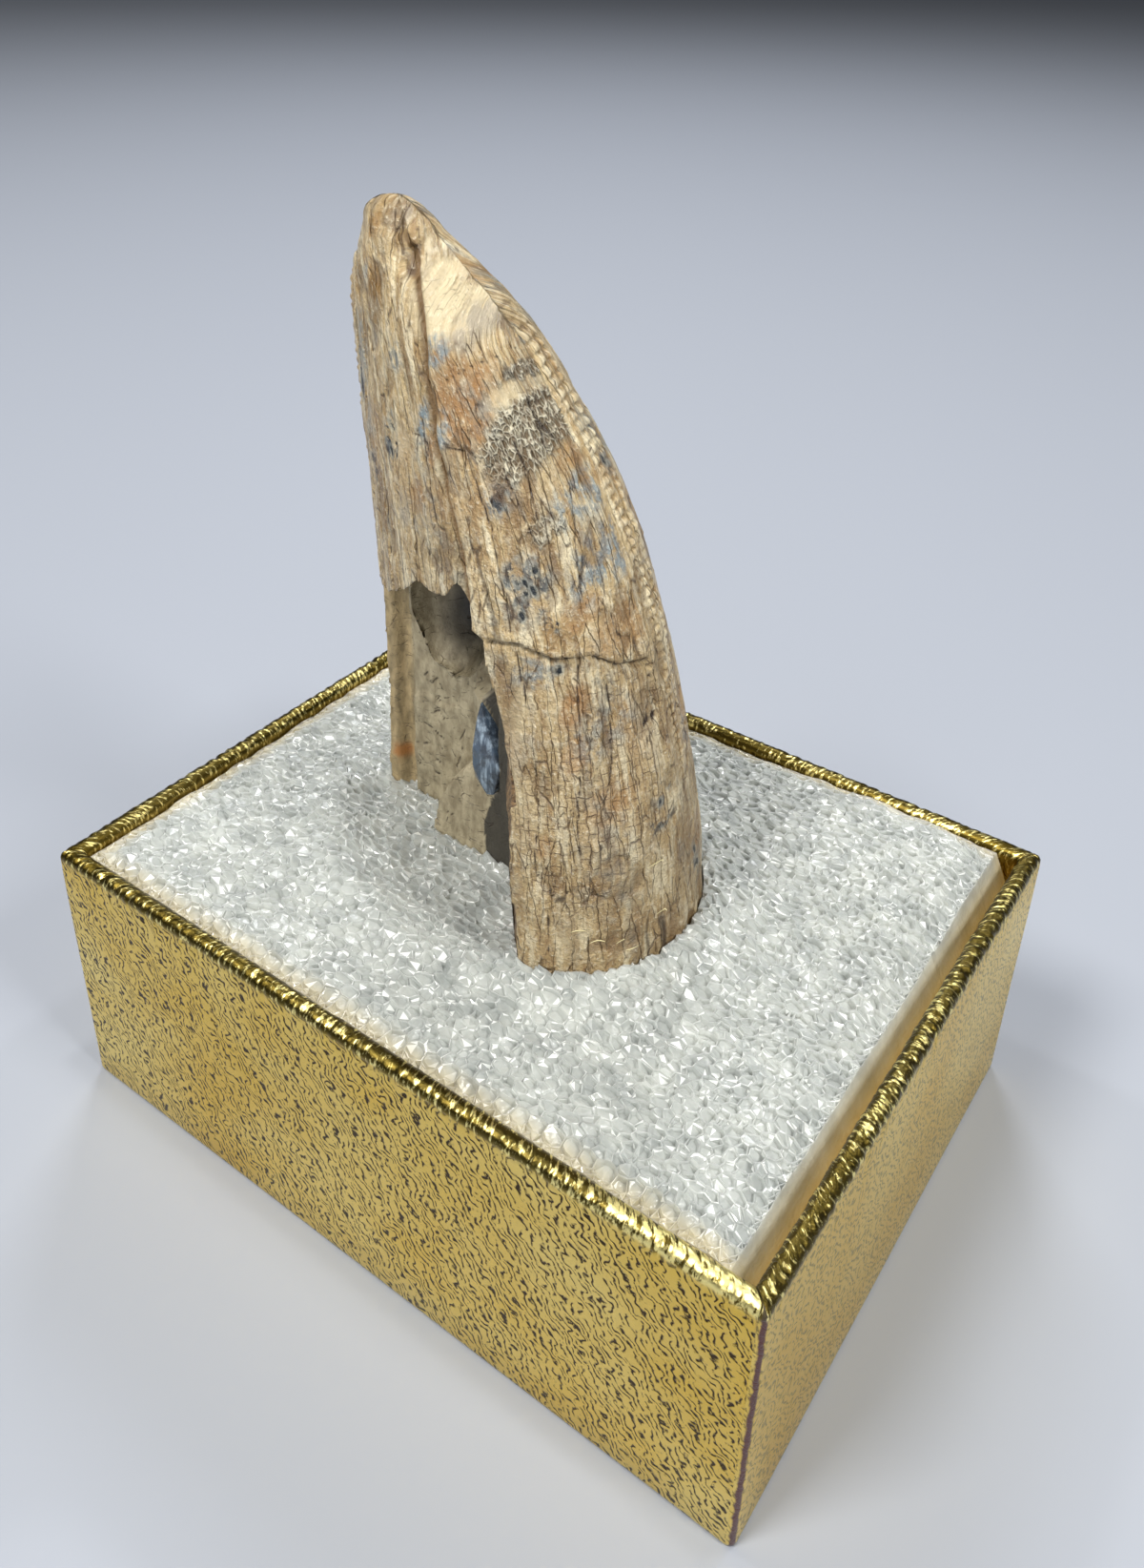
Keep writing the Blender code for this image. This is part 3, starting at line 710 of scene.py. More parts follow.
def turn_fraction(turn):
    """Share of the length and the face for turns of 0 to 1 around the section."""
    fraction = np.clip(0.5 * (1.0 - np.cos(2.0 * pi * turn)), 0.0, 1.0)
    return fraction, np.where(turn <= 0.5, -1.0, 1.0)


def outward(turn, height):
    """Directions out of the section at turns around it."""
    small = 0.004
    before = crown_points(*turn_fraction((turn - small) % 1.0), height)
    after = crown_points(*turn_fraction((turn + small) % 1.0), height)
    along = after - before
    out = np.stack([along[:, 1], -along[:, 0], np.zeros(len(along))], axis=1)
    return out / np.linalg.norm(out, axis=1)[:, None]


def crown_place(points):
    """Place of points on the crown.

    The results are the turn, the share of the length, the face, the mm across the surface from the
    mesial edge, and the depth under the surface.
    """
    x, y, z = points.T
    distal, mesial, thickness = section_at(z)
    fraction = np.clip((x - distal) / (mesial - distal), 0.0, 1.0)
    offset = y - MIDLINE_Y - MIDLINE_SLOPE * (fraction - 0.5) * (mesial - distal)
    side = np.where(offset < 0.0, -1.0, 1.0)
    swell = np.maximum(thickness * swell_at(fraction), 1e-6)
    share = np.interp(fraction, *edge_reaches())
    local_girth = (mesial - distal) * HALF_GIRTH / (MESIAL_EDGE[0] - DISTAL_EDGE[0])
    blunt = blend_steps(*TIP_BLEND, z)
    across = side * (0.5 * HALF_GIRTH + (share - 0.5) * (HALF_GIRTH + (local_girth - HALF_GIRTH) * blunt))
    turn = np.arccos(1.0 - 2.0 * fraction) / (2.0 * pi)
    turn = np.where(side < 0.0, turn, 1.0 - turn)
    return turn, fraction, side, across, swell - np.abs(offset)


def row_height(row):
    """Height of a mesh row: wide rows in the foam, even ones above, close ones at the tip."""
    if row <= ROOT_ROWS:
        return ROOT_END + (FINE_START - ROOT_END) * row / ROOT_ROWS
    if row <= ROOT_ROWS + BODY_ROWS:
        return FINE_START + (TIP_START - FINE_START) * (row - ROOT_ROWS) / BODY_ROWS
    share = (row - ROOT_ROWS - BODY_ROWS) / TIP_ROWS
    return TIP_START + (TIP_HEIGHT - TIP_START) * sin(0.5 * pi * share)


def whole_crown(coarseness=1):
    """Closed bmesh of the smooth crown and root, before anything is broken out of it."""
    columns = (NEAR_COLUMNS + FAR_COLUMNS) // coarseness
    rows = (ROOT_ROWS + BODY_ROWS + TIP_ROWS) // coarseness
    bm = bmesh.new()
    bmesh.ops.create_grid(bm, x_segments=columns, y_segments=rows, size=0.5)
    column = np.array([round((vert.co.x + 0.5) * columns) * coarseness for vert in bm.verts])
    height = np.array([row_height(round((vert.co.y + 0.5) * rows) * coarseness) for vert in bm.verts])
    near = 0.5 * column / NEAR_COLUMNS
    far = 0.5 + 0.5 * (column - NEAR_COLUMNS) / FAR_COLUMNS
    turn = np.where(column <= NEAR_COLUMNS, near, far) % 1.0
    place_vertices(bm, crown_points(*turn_fraction(turn), height))
    close_tube(bm)
    return bm


def filling_depth(x, z):
    """Y of the mineral filling that shows where the wall is gone."""
    depth = straight_line(FILLING_FACE, x)
    depth = np.where((x > CRYSTAL_LEFT) & (z > CRYSTAL_TOP), np.maximum(depth, CRYSTAL_DEPTH), depth)
    chunk = CHUNK_FACE + CHUNK_SLOPE * (z - FOAM_LEVEL)
    low = (x > CHUNK_LEFT) & (z < straight_line(CHUNK_TOP, x))
    depth = np.where(low, np.minimum(depth, chunk), depth)
    points = np.stack([x * 0.9, np.full(len(x), 3.1), z * 0.5], axis=1)
    return depth + FILLING_ROUGHNESS * noise_field(points, (1.0, 1.0, 1.0))


def window_cutter(clearance=0.0):
    """Solid that removes the missing wall down to the face of the filling."""
    bm = bmesh.new()
    rows = WINDOW_ROWS_LOW + WINDOW_ROWS
    bmesh.ops.create_grid(bm, x_segments=WINDOW_COLUMNS, y_segments=rows, size=0.5)
    layer = bm.verts.layers.int.new("layer")
    front = bm.faces[:]
    for step in range(1, WALL_LAYERS + 2):
        made = bmesh.ops.extrude_face_region(bm, geom=front)["geom"]
        for vert in only(bmesh.types.BMVert, made):
            vert[layer] = step
        if step > 1:
            bmesh.ops.delete(bm, geom=front, context="FACES")
        front = only(bmesh.types.BMFace, made)
    spots = np.array([(vert.co.x + 0.5, vert.co.y + 0.5, vert[layer]) for vert in bm.verts])
    across, upward, depth_step = spots.T
    row = np.round(upward * rows)
    low_share = (FINE_START - WINDOW_FLOOR) / (WINDOW_CEILING - WINDOW_FLOOR)
    upward = np.where(
        row <= WINDOW_ROWS_LOW,
        low_share * row / WINDOW_ROWS_LOW,
        low_share + (1.0 - low_share) * (row - WINDOW_ROWS_LOW) / WINDOW_ROWS,
    )
    backward = np.clip((depth_step - 1.0) / WALL_LAYERS, 0.0, 1.0)
    ragged = clearance == 0.0
    zero = np.zeros(len(across))
    top_x = WINDOW_LEFT + (WINDOW_TOP[-1][0] - WINDOW_LEFT) * across
    splinters = layered_noise(np.stack([top_x, WALL_SPAN * backward, zero], axis=1), TOP_SPLINTERS)
    top = straight_line(WINDOW_TOP, top_x) - clearance + splinters * ragged
    z = WINDOW_FLOOR + (top - WINDOW_FLOOR) * upward
    bites = layered_noise(np.stack([zero, WALL_SPAN * backward, z], axis=1), EDGE_BITES)
    edge = straight_line(WINDOW_EDGE, z) - EDGE_CLEARANCE_SHARE * clearance + bites * ragged
    inner_edge = edge - EDGE_SLANT * (CHUNK_FACE - EDGE_FACE)
    slant = blend_steps(SLANT_START, 1.0, across)
    front_x = WINDOW_LEFT + (edge - WINDOW_LEFT) * across
    wide_x = front_x + slant * EDGE_SLANT * (EDGE_FACE - WINDOW_FRONT)
    near_x = front_x + slant * EDGE_SLANT * (EDGE_FACE - WALL_START)
    back_x = WINDOW_LEFT + (inner_edge - WINDOW_LEFT) * across
    back_y = filling_depth(back_x, z) - clearance
    x = np.where(depth_step == 0, wide_x, near_x + (back_x - near_x) * backward)
    y = np.where(depth_step == 0, WINDOW_FRONT, WALL_START + (back_y - WALL_START) * backward)
    place_vertices(bm, np.stack([x, y, z], axis=1))
    return bm


def hollow_cutter():
    """Rounded end of the pulp cavity above the filling."""
    bm = bmesh.new()
    bmesh.ops.create_uvsphere(bm, u_segments=HOLLOW_SEGMENTS, v_segments=HOLLOW_RINGS, radius=1.0)
    for vert in bm.verts:
        swell = 1.0 + HOLLOW_SWELL * noise.noise(vert.co * 2.3) + 0.03 * noise.noise(vert.co * 9.0)
        vert.co = Vector([c + r * swell * v for c, r, v in zip(HOLLOW_CENTRE, HOLLOW_RADII, vert.co)])
    return bm


def split_offset(points, fraction):
    """How far points lie to the right of the long split, in mm along the face."""
    z = points[:, 2]
    levels = np.arange(ROOT_END, TIP_HEIGHT, 0.1)
    line = [smooth_line(STEP_HEIGHTS, STEP_FRACTIONS, float(level)) for level in levels]
    distal, mesial, _ = section_at(z)
    waver = noise_field(np.stack([z * 0.0, z * 0.0, z], axis=1), (1.0, 1.0, 1.3), 2.7)
    return (fraction - np.interp(z, levels, line)) * (mesial - distal) + SPLIT_WAVER * waver


def plate_relief(points, grain, warp):
    """Fine relief of the enamel: streaks, plates with cracks between them, and flaked spots."""
    zero = np.zeros(len(points))
    wavy = grain + np.stack([0.35 * warp, zero, 0.5 * warp], axis=1)
    fine = layered_noise(wavy, STREAKS)
    fine += 0.030 * noise_field(points, (0.45, 0.45, 0.7), 6.2)
    border, plate = cell_field(wavy, PLATE_SIZE, 17.2)
    opened = blend_steps(-0.10, 0.45, noise_field(grain, (2.2, 1.0, 4.0), 21.7))
    fine += PLATE_RISE * (plate - 0.5) * blend_steps(0.0, 0.10, border)
    flakes, flake = cell_field(wavy + np.stack([0.3 * warp, zero, zero], axis=1), FLAKE_SIZE, 31.9)
    fine -= FLAKE_DEPTH * blend_steps(0.55, 0.60, flake) * blend_steps(0.02, 0.09, flakes)
    return fine, 0.9 * opened * bell(border, 0.07)


def joint_relief(points, right, near):
    """The joint across the near face, right of the split: how open it is, and the drop below it."""
    x, z = points[:, 0], points[:, 2]
    below = straight_line(JOINT_LINE, x) + layered_noise(points, JOINT_WAVER) - z
    thin_out = 1.0 - 0.75 * blend_steps(7.0, 8.4, x)
    joined = near * (x > JOINT_LINE[0][0]) * (right > 0.0) * thin_out
    return joined * bell(below, 0.10), joined * JOINT_DROP * blend_steps(-0.07, 0.07, below)


def crown_relief(points, turn, fraction, side, across):
    """How far the real surface stands out from the plain section, and what it is made of.

    The results are the whole rise, how open the cracks are, with painted shadow under the lip of the joint,
    the fine part of the rise, and the split.
    """
    x, z = points[:, 0], points[:, 2]
    near = side < 0.0
    grain = np.stack([across, np.zeros(len(z)), z], axis=1)
    warp = noise_field(grain, (1.6, 1.0, 2.2), 11.3)
    fine, crack = plate_relief(points, grain, warp)
    lumps = noise_field(points * (LUMP_ACROSS, LUMP_ACROSS, LUMP_ALONG), (1.0, 1.0, 1.0))
    rise = LUMP_SIZE * lumps + fine
    steep = 1.0 / np.clip(-outward(turn, np.minimum(z, TIP_START))[:, 1], 0.2, 1.0)
    sway = 0.10 * warp + 0.07 * noise_field(points, (0.5, 0.5, 0.6), 35.0)
    for lines, darkness, width in ((CRACKS, 1.0, 0.075), (LEDGES, 0.9, 0.08)):
        for line in lines:
            reach = line_reach(x + sway, z, line) * steep
            crack = np.maximum(crack, near * darkness * bell(reach, width))
    right = split_offset(points, fraction)
    above_gap = near * blend_steps(40.5, 42.0, z) * blend_steps(60.2, 59.0, z)
    fade = 1.0 - blend_steps(*STEP_FADE, turn)
    rise += near * STEP_RISE * fade * blend_steps(-0.5 * STEP_WIDTH, 0.5 * STEP_WIDTH, right)
    split = above_gap * bell((right + 0.22) * steep, SPLIT_WIDTH)
    core = above_gap * bell((right + 0.04) * steep, SPLIT_CORE_WIDTH)
    joint, drop = joint_relief(points, right, near)
    rise -= drop
    for chip_x, chip_z, half_width, half_height, depth in CHIPS:
        reach = oval_reach(x + 0.25 * warp, z, (chip_x, chip_z), (half_width, half_height))
        rise -= near * depth * (1.0 - blend_steps(*CHIP_EDGE, reach))
    comb = stain_values(points, side, "comb")
    pits = bell(cell_field(points, COMB_SIZE, 41.0)[0], 0.16)
    rise += comb * (0.13 * pits - 0.10)
    fine += comb * (0.16 * pits - 0.10)
    # The joint's dark line is part open crack and part painted shadow under the lip of the upper shell
    crack = np.maximum(np.maximum(crack * (1.0 - split), 0.9 * core), joint)
    rise -= 0.13 * crack + SPLIT_DEPTH * split + 0.20 * joint
    return rise, crack, fine, split


def stain_values(points, side, kind):
    """How strongly a kind of stain colours each point."""
    warp_x = layered_noise(points, ((0.18, (0.9, 0.9, 1.4), 51.0), (0.14, (0.3, 0.3, 0.4), 53.0)))
    warp_z = 0.30 * noise_field(points, (0.9, 0.9, 1.4), 57.0)
    x, z = points[:, 0] + warp_x, points[:, 2] + warp_z
    near = side < 0.0
    value = np.zeros(len(x))
    for name, centre_x, centre_z, half_width, half_height, strength in STAINS:
        if name == kind:
            reach = oval_reach(x, z, (centre_x, centre_z), (half_width, half_height))
            value = np.maximum(value, near * strength * (1.0 - blend_steps(0.55, 1.25, reach)))
    seed = 61.0 + 7.0 * list(STRAY_STAINS).index(kind)
    patches = blend_steps(0.22, 0.55, noise_field(points, (2.6, 2.6, 4.6), seed))
    return np.maximum(value, patches * STRAY_STAINS[kind] * np.where(near, 0.55, 1.0))


def filling_marks(points, hidden):
    """Painted shade in the end of the pulp cavity and in the cleft, amber spot and hairline cracks of the
    filling; hidden is 1 where wall covers it.
    """
    x, z = points[:, 0], points[:, 2]
    cavity_shade = 1.0 - blend_steps(0.45, 1.25, oval_reach(x, z, CAVITY_SHADE_PATCH[:2], CAVITY_SHADE_PATCH[2:]))
    cleft = CLEFT_SHADE_STRENGTH * inside_outline(x, z, CLEFT_SHADE_OUTLINE) * (1.0 - hidden)
    ragged = 0.3 * noise_field(points, (0.5, 0.5, 0.5), 91.0)
    spot = oval_reach(x + ragged, z + ragged, AMBER_SPOT[:2], AMBER_SPOT[2:])
    sway = 0.3 * layered_noise(points, BREAK_ROUGHNESS)
    hairline = np.zeros(len(z))
    for line in PANEL_CRACKS:
        hairline = np.maximum(hairline, bell(line_reach(x + sway, z, line), 0.07))
    return np.maximum(cavity_shade, cleft), 1.0 - blend_steps(0.2, 1.2, spot), hairline * (1.0 - hidden)


def break_relief(points, depth, wall, hairline):
    """Relief of the broken faces: layers and lumps in the wall, combed and cracked filling."""
    x, z = points[:, 0], points[:, 2]
    rough = layered_noise(points, BREAK_ROUGHNESS)
    laminae = 0.07 * noise_field(np.stack([depth, z * 0.0, z], axis=1), (0.28, 1.0, 6.0), 79.0)
    combed = 0.04 * noise_field(points, (0.30, 3.0, 4.0), 83.0)
    sunk = inside_outline(x, z, PANEL_SUNK) * PANEL_SUNK_DEPTH
    filling = 0.4 * rough + combed - sunk - 0.08 * hairline
    return wall * (rough + laminae) + (1.0 - wall) * filling


def dress_tooth(tooth):
    """Give the cut crown its relief, its stains and its broken faces."""
    mesh = tooth.data
    points = mesh_points(mesh)
    normals = point_normals(mesh)
    enamel = np.zeros(len(points), bool)
    for face in mesh.polygons:
        if face.material_index == 0:
            enamel[list(face.vertices)] = True
    turn, fraction, side, across, depth = crown_place(points)
    rise, crack, fine, split = crown_relief(points, turn, fraction, side, across)
    x, z = points[:, 0], points[:, 2]
    above = blend_steps(ROOT_END + 0.2, ROOT_END + 1.0, z)
    out = outward(turn, np.minimum(z, TIP_START))
    wall = blend_steps(0.15, 0.7, filling_depth(x, z) - points[:, 1])
    cavity_shade, amber, hairline = filling_marks(points, wall)
    hairline *= ~enamel
    inner_rise = break_relief(points, depth, wall, hairline)
    shift = np.where(enamel[:, None], out * (rise * above)[:, None], normals * inner_rise[:, None])
    move_points(mesh, points + shift)
    values = {
        "grain": np.stack([across, z, depth], axis=1),
        "crack": np.where(enamel, crack, hairline),
        "raised": fine * enamel,
        "split": split * enamel,
        "wall": wall,
        "cavity_shade": cavity_shade,
        "amber": amber,
        "rim": blend_steps(-12.3, -12.7, x) * (1.0 - wall),
    }
    values |= {kind: stain_values(points, side, kind) for kind in STRAY_STAINS}
    for name, numbers in values.items():
        add_values(mesh, name, numbers)
    mesh.polygons.foreach_set("use_smooth", np.ones(len(mesh.polygons), bool))


def build_tooth(materials):
    """The tooth as one piece: crown, broken gap and filling."""
    tooth = object_from("fossil_tooth", whole_crown(), materials)
    for bm in (window_cutter(), hollow_cutter()):
        for face in bm.faces:
            face.material_index = 1
        cut_away(tooth, object_from("cutter", bm, materials))
    dress_tooth(tooth)
    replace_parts(finish_piece(tooth), "tooth")


def build_crystal(material):
    """Faceted crystal that grew in the filling, its back buried in it."""
    spots = [(x, z, CRYSTAL_RIM_RISE) for x, z in CRYSTAL_RIM] + list(CRYSTAL_RIDGE)
    spots += [(x, z, -CRYSTAL_BURIED) for x, z in CRYSTAL_RIM]
    x, z, rise = np.array(spots).T
    ground = np.minimum(filling_depth(x, z), straight_line(CRYSTAL_PLANE, x))
    bm = bmesh.new()
    for place in np.stack([x, ground - rise, z], axis=1):
        bm.verts.new(place)
    hull = bmesh.ops.convex_hull(bm, input=bm.verts)
    bmesh.ops.delete(bm, geom=list({*hull["geom_interior"], *hull["geom_unused"]}), context="VERTS")
    bmesh.ops.bevel(bm, geom=bm.edges[:], offset=0.05, segments=1, profile=0.5, affect="EDGES", material=-1)
    finish_piece(object_from("crystal_face", bm, [material]))


def turns_beside(edge_turn, heights, aside):
    """Turns round the section that lie so many mm aside of an edge of the crown."""
    turns = edge_turn + np.linspace(-EDGE_SEARCH, EDGE_SEARCH, 2 * EDGE_SEARCH_STEPS + 1)
    turn = np.empty(len(heights))
    for height in np.unique(heights):
        picked = heights == height
        places = crown_points(*turn_fraction(turns % 1.0), np.full(len(turns), height))
        steps = np.linalg.norm(np.diff(places, axis=0), axis=1)
        along = np.concatenate([[0.0], np.cumsum(steps)])
        turn[picked] = np.interp(aside[picked], along - along[EDGE_SEARCH_STEPS], turns)
    return turn % 1.0


def both_ends(share, start, end):
    """0 at both ends of a strip, rising to 1 within these shares of it."""
    return blend_steps(0.0, start, share) * blend_steps(1.0, end, share)


def serrated_edge(name, span, edge_turn, pitch, material):
    """A finely ribbed strip of enamel along one edge of the crown, sunk into it at its sides."""
    length = span[1] - span[0]
    bm = bmesh.new()
    rows = round(length / pitch) * ROWS_PER_DENTICLE
    bmesh.ops.create_grid(bm, x_segments=SERRATION_COLUMNS, y_segments=rows, size=0.5)
    made = bmesh.ops.extrude_face_region(bm, geom=bm.faces[:])["geom"]
    outer = set(only(bmesh.types.BMVert, made))
    raised = np.array([vert in outer for vert in bm.verts])
    aside = np.array([vert.co.x * 2.0 * SERRATION_HALF_WIDTH for vert in bm.verts])
    share = np.array([vert.co.y + 0.5 for vert in bm.verts])
    level = span[0] + length * share
    turn = turns_beside(edge_turn, level, aside)
    # The strip bends down towards its sides, as the ribs do
    height = level - RIB_BEND * aside**2
    surface = crown_points(*turn_fraction(turn), height)
    phase = (share * length / pitch + 0.10 * noise_field(surface, (3.0, 3.0, 3.0), 5.0)) % 1.0
    rib = 1.0 - np.abs(2.0 * phase - 1.0) ** 3.0
    worn = 0.72 + 0.60 * noise_field(surface, (0.8, 0.8, 0.9), 13.0)
    ends = (0.35 + 0.65 * blend_steps(0.15, 0.45, share)) * both_ends(share, 0.05, 0.90)
    reach = 1.0 - blend_steps(0.30 * DENTICLE_REACH, (0.7 + 0.6 * worn) * DENTICLE_REACH, np.abs(aside))
    reach *= blend_steps(0.05, 0.40, np.abs(aside))
    sunk = blend_steps(0.65, 1.0, np.abs(aside) / SERRATION_HALF_WIDTH)
    sunk = np.maximum(sunk, 1.0 - both_ends(share, 0.02, 0.99))
    crown_turn, fraction, side, across, depth = crown_place(surface)
    ground, crack, fine, _ = crown_relief(surface, crown_turn, fraction, side, across)
    rise = CARINA_RISE * bell(aside, CARINA_WIDTH) + DENTICLE_RISE * (rib - 0.5) * reach * worn * ends
    lift = np.where(raised, rise * (1.0 - sunk) - SERRATION_SINK * sunk, -2.5 * SERRATION_SINK)
    lift += ground + CARINA_SET
    place_vertices(bm, surface + outward(turn, height) * lift[:, None])
    smooth_faces(bm)
    strip = object_from(name, bm, [material])
    # Painted shade in the gaps between the denticles, laid on as crack darkness, and painted highlight on
    # the rib tops through the raised value
    gap = (1.0 - rib) ** 1.5 * reach * ends * raised
    values = {
        "grain": np.stack([across, surface[:, 2], depth], axis=1),
        "crack": np.maximum(crack * (1.0 - reach), 0.8 * gap),
        "raised": fine + (0.20 * rib - 0.10) * reach * raised,
    }
    values |= {kind: stain_values(surface, side, kind) for kind in STRAY_STAINS}
    for field, numbers in values.items():
        add_values(strip.data, field, numbers)
    finish_piece(strip)


def build_fibres(material):
    """Hair-thin splinters that stand off the lower enamel."""
    bm = bmesh.new()
    for start, end, bow in FIBRES:
        made = bmesh.ops.create_uvsphere(bm, u_segments=6, v_segments=10, radius=1.0)["verts"]
        for vert in made:
            along = 0.5 * (vert.co.z + 1.0)
            x = start[0] + (end[0] - start[0]) * along
            z = start[1] + (end[1] - start[1]) * along + bow * 4.0 * along * (1.0 - along)
            distal, mesial, thickness = crown_section(z)
            fraction = min((x - distal) / (mesial - distal), 0.995)
            midline = MIDLINE_Y + MIDLINE_SLOPE * (fraction - 0.5) * (mesial - distal)
            y = midline - thickness * swell_at(fraction) - STEP_RISE + JOINT_DROP - FIBRE_STAND
            vert.co = Vector((x, y + FIBRE_RADIUS * vert.co.y, z + FIBRE_RADIUS * vert.co.x))
    smooth_faces(bm)
    finish_piece(object_from("enamel_fibres", bm, [material]))


def foam_height(x, y):
    """Top of the foam: lumps, a bulge at the back and a collar round the tooth."""
    spots = np.stack([x * FOAM_LUMP_SCALE, y * FOAM_LUMP_SCALE, np.full(len(x), 7.3)], axis=1)
    lumps = FOAM_LUMP * noise_field(spots, (1.0, 1.0, 1.0))
    bulge = FOAM_BULGE * bell(oval_reach(x, y, BULGE_CENTRE, BULGE_RADII), 1.0)
    pile = FOAM_PILE * bell(oval_reach(x, y, PILE_CENTRE, PILE_RADII) - 1.0, PILE_WIDTH)
    hug = bell(oval_reach(x, y, HUG_CENTRE, HUG_RADII) - 1.0, HUG_WIDTH)
    return FOAM_TOP + lumps + bulge + pile + HUG_RISE * hug * blend_steps(1.0, 4.5, x)


def cell_sheet():
    """A flat sheet of irregular foam cells, one face each, 2 units wide and long."""
    spacing_x = 2.0 / FOAM_CELLS[0]
    spacing_y = 2.0 / FOAM_CELLS[1]
    bm = bmesh.new()
    bmesh.ops.create_grid(bm, x_segments=FOAM_CELLS[0], y_segments=FOAM_CELLS[1], size=1.0)
    for vert in bm.verts:
        if vert.is_boundary:
            continue
        row = round((vert.co.y + 1.0) / spacing_y)
        spot = Vector((vert.co.x / spacing_x, vert.co.y / spacing_y, 0.5))
        vert.co.x += spacing_x * (0.5 * (row % 2) - 0.25 + FOAM_JITTER * noise.cell_vector(spot * 3.7).x)
        vert.co.y += spacing_y * FOAM_JITTER * noise.cell_vector(spot * 5.3).y
    bmesh.ops.triangulate(bm, faces=bm.faces, quad_method="SHORT_EDGE")
    dropped = []
    taken = set()
    for vert in bm.verts:
        around = {edge.other_vert(vert) for edge in vert.link_edges}
        picked = noise.cell((vert.co.x / spacing_x * 1.9, vert.co.y / spacing_y * 2.3, 8.0)) < FOAM_MERGED
        if picked and not vert.is_boundary and vert not in taken:
            dropped.append(vert)
            taken |= around
    bmesh.ops.dissolve_verts(bm, verts=dropped)
    bmesh.ops.triangulate(bm, faces=bm.faces, ngon_method="BEAUTY")
    centres = [vert for vert in bm.verts if not vert.is_boundary]
    flips = [edge for edge in bm.edges if not edge.is_boundary]
    bmesh.ops.poke(bm, faces=bm.faces)
    bmesh.ops.rotate_edges(bm, edges=flips, use_ccw=False)
    bmesh.ops.dissolve_verts(bm, verts=centres)
    return bm


def foam_blank():
    """Bmesh of the pad with its wavy top, plain sides and flat underside, and the vertices of its top."""
    bottom = FOIL_THICKNESS + GLUE_GAP + BOARD_THICKNESS + FOAM_GAP
    bm = cell_sheet()
    lower = bm.faces[:]
    made = bmesh.ops.extrude_face_region(bm, geom=lower)["geom"]
    shoulder = set(only(bmesh.types.BMVert, made))
    middle = only(bmesh.types.BMFace, made)
    made = bmesh.ops.extrude_face_region(bm, geom=middle)["geom"]
    upper = set(only(bmesh.types.BMVert, made))
    bmesh.ops.delete(bm, geom=middle, context="FACES")
    for vert in bm.verts:
        edge = max(abs(vert.co.x), abs(vert.co.y))
        x = vert.co.x * FOAM_HALF_LENGTH
        y = vert.co.y * FOAM_HALF_WIDTH
        if vert in upper:
            x -= FOAM_RIGHT_SLOPE * float(blend_steps(0.6, 1.0, vert.co.x))
            drop = EDGE_DROP * float(blend_steps(EDGE_DROP_START, 1.0, edge))
            z = float(foam_height(np.array([x]), np.array([y]))[0]) - drop
            z += FOAM_RIM_JITTER * noise.noise((x * 3.1, y * 3.1, 0.0))
            vert.co = Vector((x, y, z))
        elif vert in shoulder:
            vert.co = Vector((x, y, FOAM_TOP - SHOULDER_DEPTH))
        else:
            vert.co = Vector((x, y, bottom))
    bmesh.ops.dissolve_faces(bm, faces=lower)
    return bm, upper


def burst_cells(bm, upper, cell_depth):
    """Sink each cell of the top inside its wall, twice, with a tilted floor."""
    cells = [face for face in bm.faces if all(vert in upper for vert in face.verts)]
    bmesh.ops.inset_individual(bm, faces=cells, thickness=CELL_RIM, use_even_offset=True)
    for face in cells:
        sink = cell_depth * (0.6 + 0.8 * noise.cell(face.calc_center_median() * 7.1))
        for vert in face.verts:
            vert.co.z -= sink
    bmesh.ops.inset_individual(bm, faces=cells, thickness=CELL_FLOOR, use_even_offset=False)
    for face in cells:
        middle = face.calc_center_median()
        tilt = noise.cell_vector(middle * 9.7)
        sink = cell_depth * (0.5 + 0.9 * noise.cell(middle * 4.3))
        for vert in face.verts:
            offset = vert.co - middle
            vert.co.z -= sink + CELL_TILT * (offset.x * tilt.x + offset.y * tilt.y)
    bmesh.ops.triangulate(bm, faces=[face for face in bm.faces if face.normal.z > -0.9])
    # A number for each facet of the top: it picks the glossy facets and those painted with glints
    film = bm.faces.layers.float.new("film")
    for face in bm.faces:
        middle = face.calc_center_median()
        lowest = min(vert.co.z for vert in face.verts)
        on_top = middle.z > FOAM_TOP - 1.0 and lowest > FOAM_TOP - 2.0
        face[film] = noise.cell(middle * 13.7) if on_top else DULL_FILM


def slot_cutter(material):
    """The tooth, a clearance larger all round, which the foam is cut with."""
    slot = object_from("slot", whole_crown(3), [material])
    points = mesh_points(slot.data)
    turn, fraction, side, across, _ = crown_place(points)
    rise = crown_relief(points, turn, fraction, side, across)[0]
    out = outward(turn, np.minimum(points[:, 2], TIP_START))
    points += out * (np.maximum(rise, 0.0) + SLOT_CLEARANCE)[:, None] - [0, 0, SLOT_CLEARANCE]
    move_points(slot.data, points)
    cut_away(slot, object_from("slot_window", window_cutter(SLOT_CLEARANCE), [material]))
    return slot


def build_foam(material, cell_depth):
    """The foam pad: burst cells on top, plain sides, and a tight slot round the tooth."""
    bm, upper = foam_blank()
    burst_cells(bm, upper, cell_depth)
    pad = object_from("foam_block", bm, [material])
    cut_away(pad, slot_cutter(material))
    x, y, _ = mesh_points(pad.data).T
    margin = np.minimum(FOAM_HALF_LENGTH - np.abs(x), FOAM_HALF_WIDTH - np.abs(y))
    tint = EDGE_TINT * (1.0 - blend_steps(0.0, EDGE_TINT_WIDTH, margin))
    slope = 1.0 - blend_steps(0.0, EDGE_TINT_WIDTH, FOAM_HALF_LENGTH - x)
    add_values(pad.data, "edge", np.maximum(tint, slope))
    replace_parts(finish_piece(pad), "foam_pad")


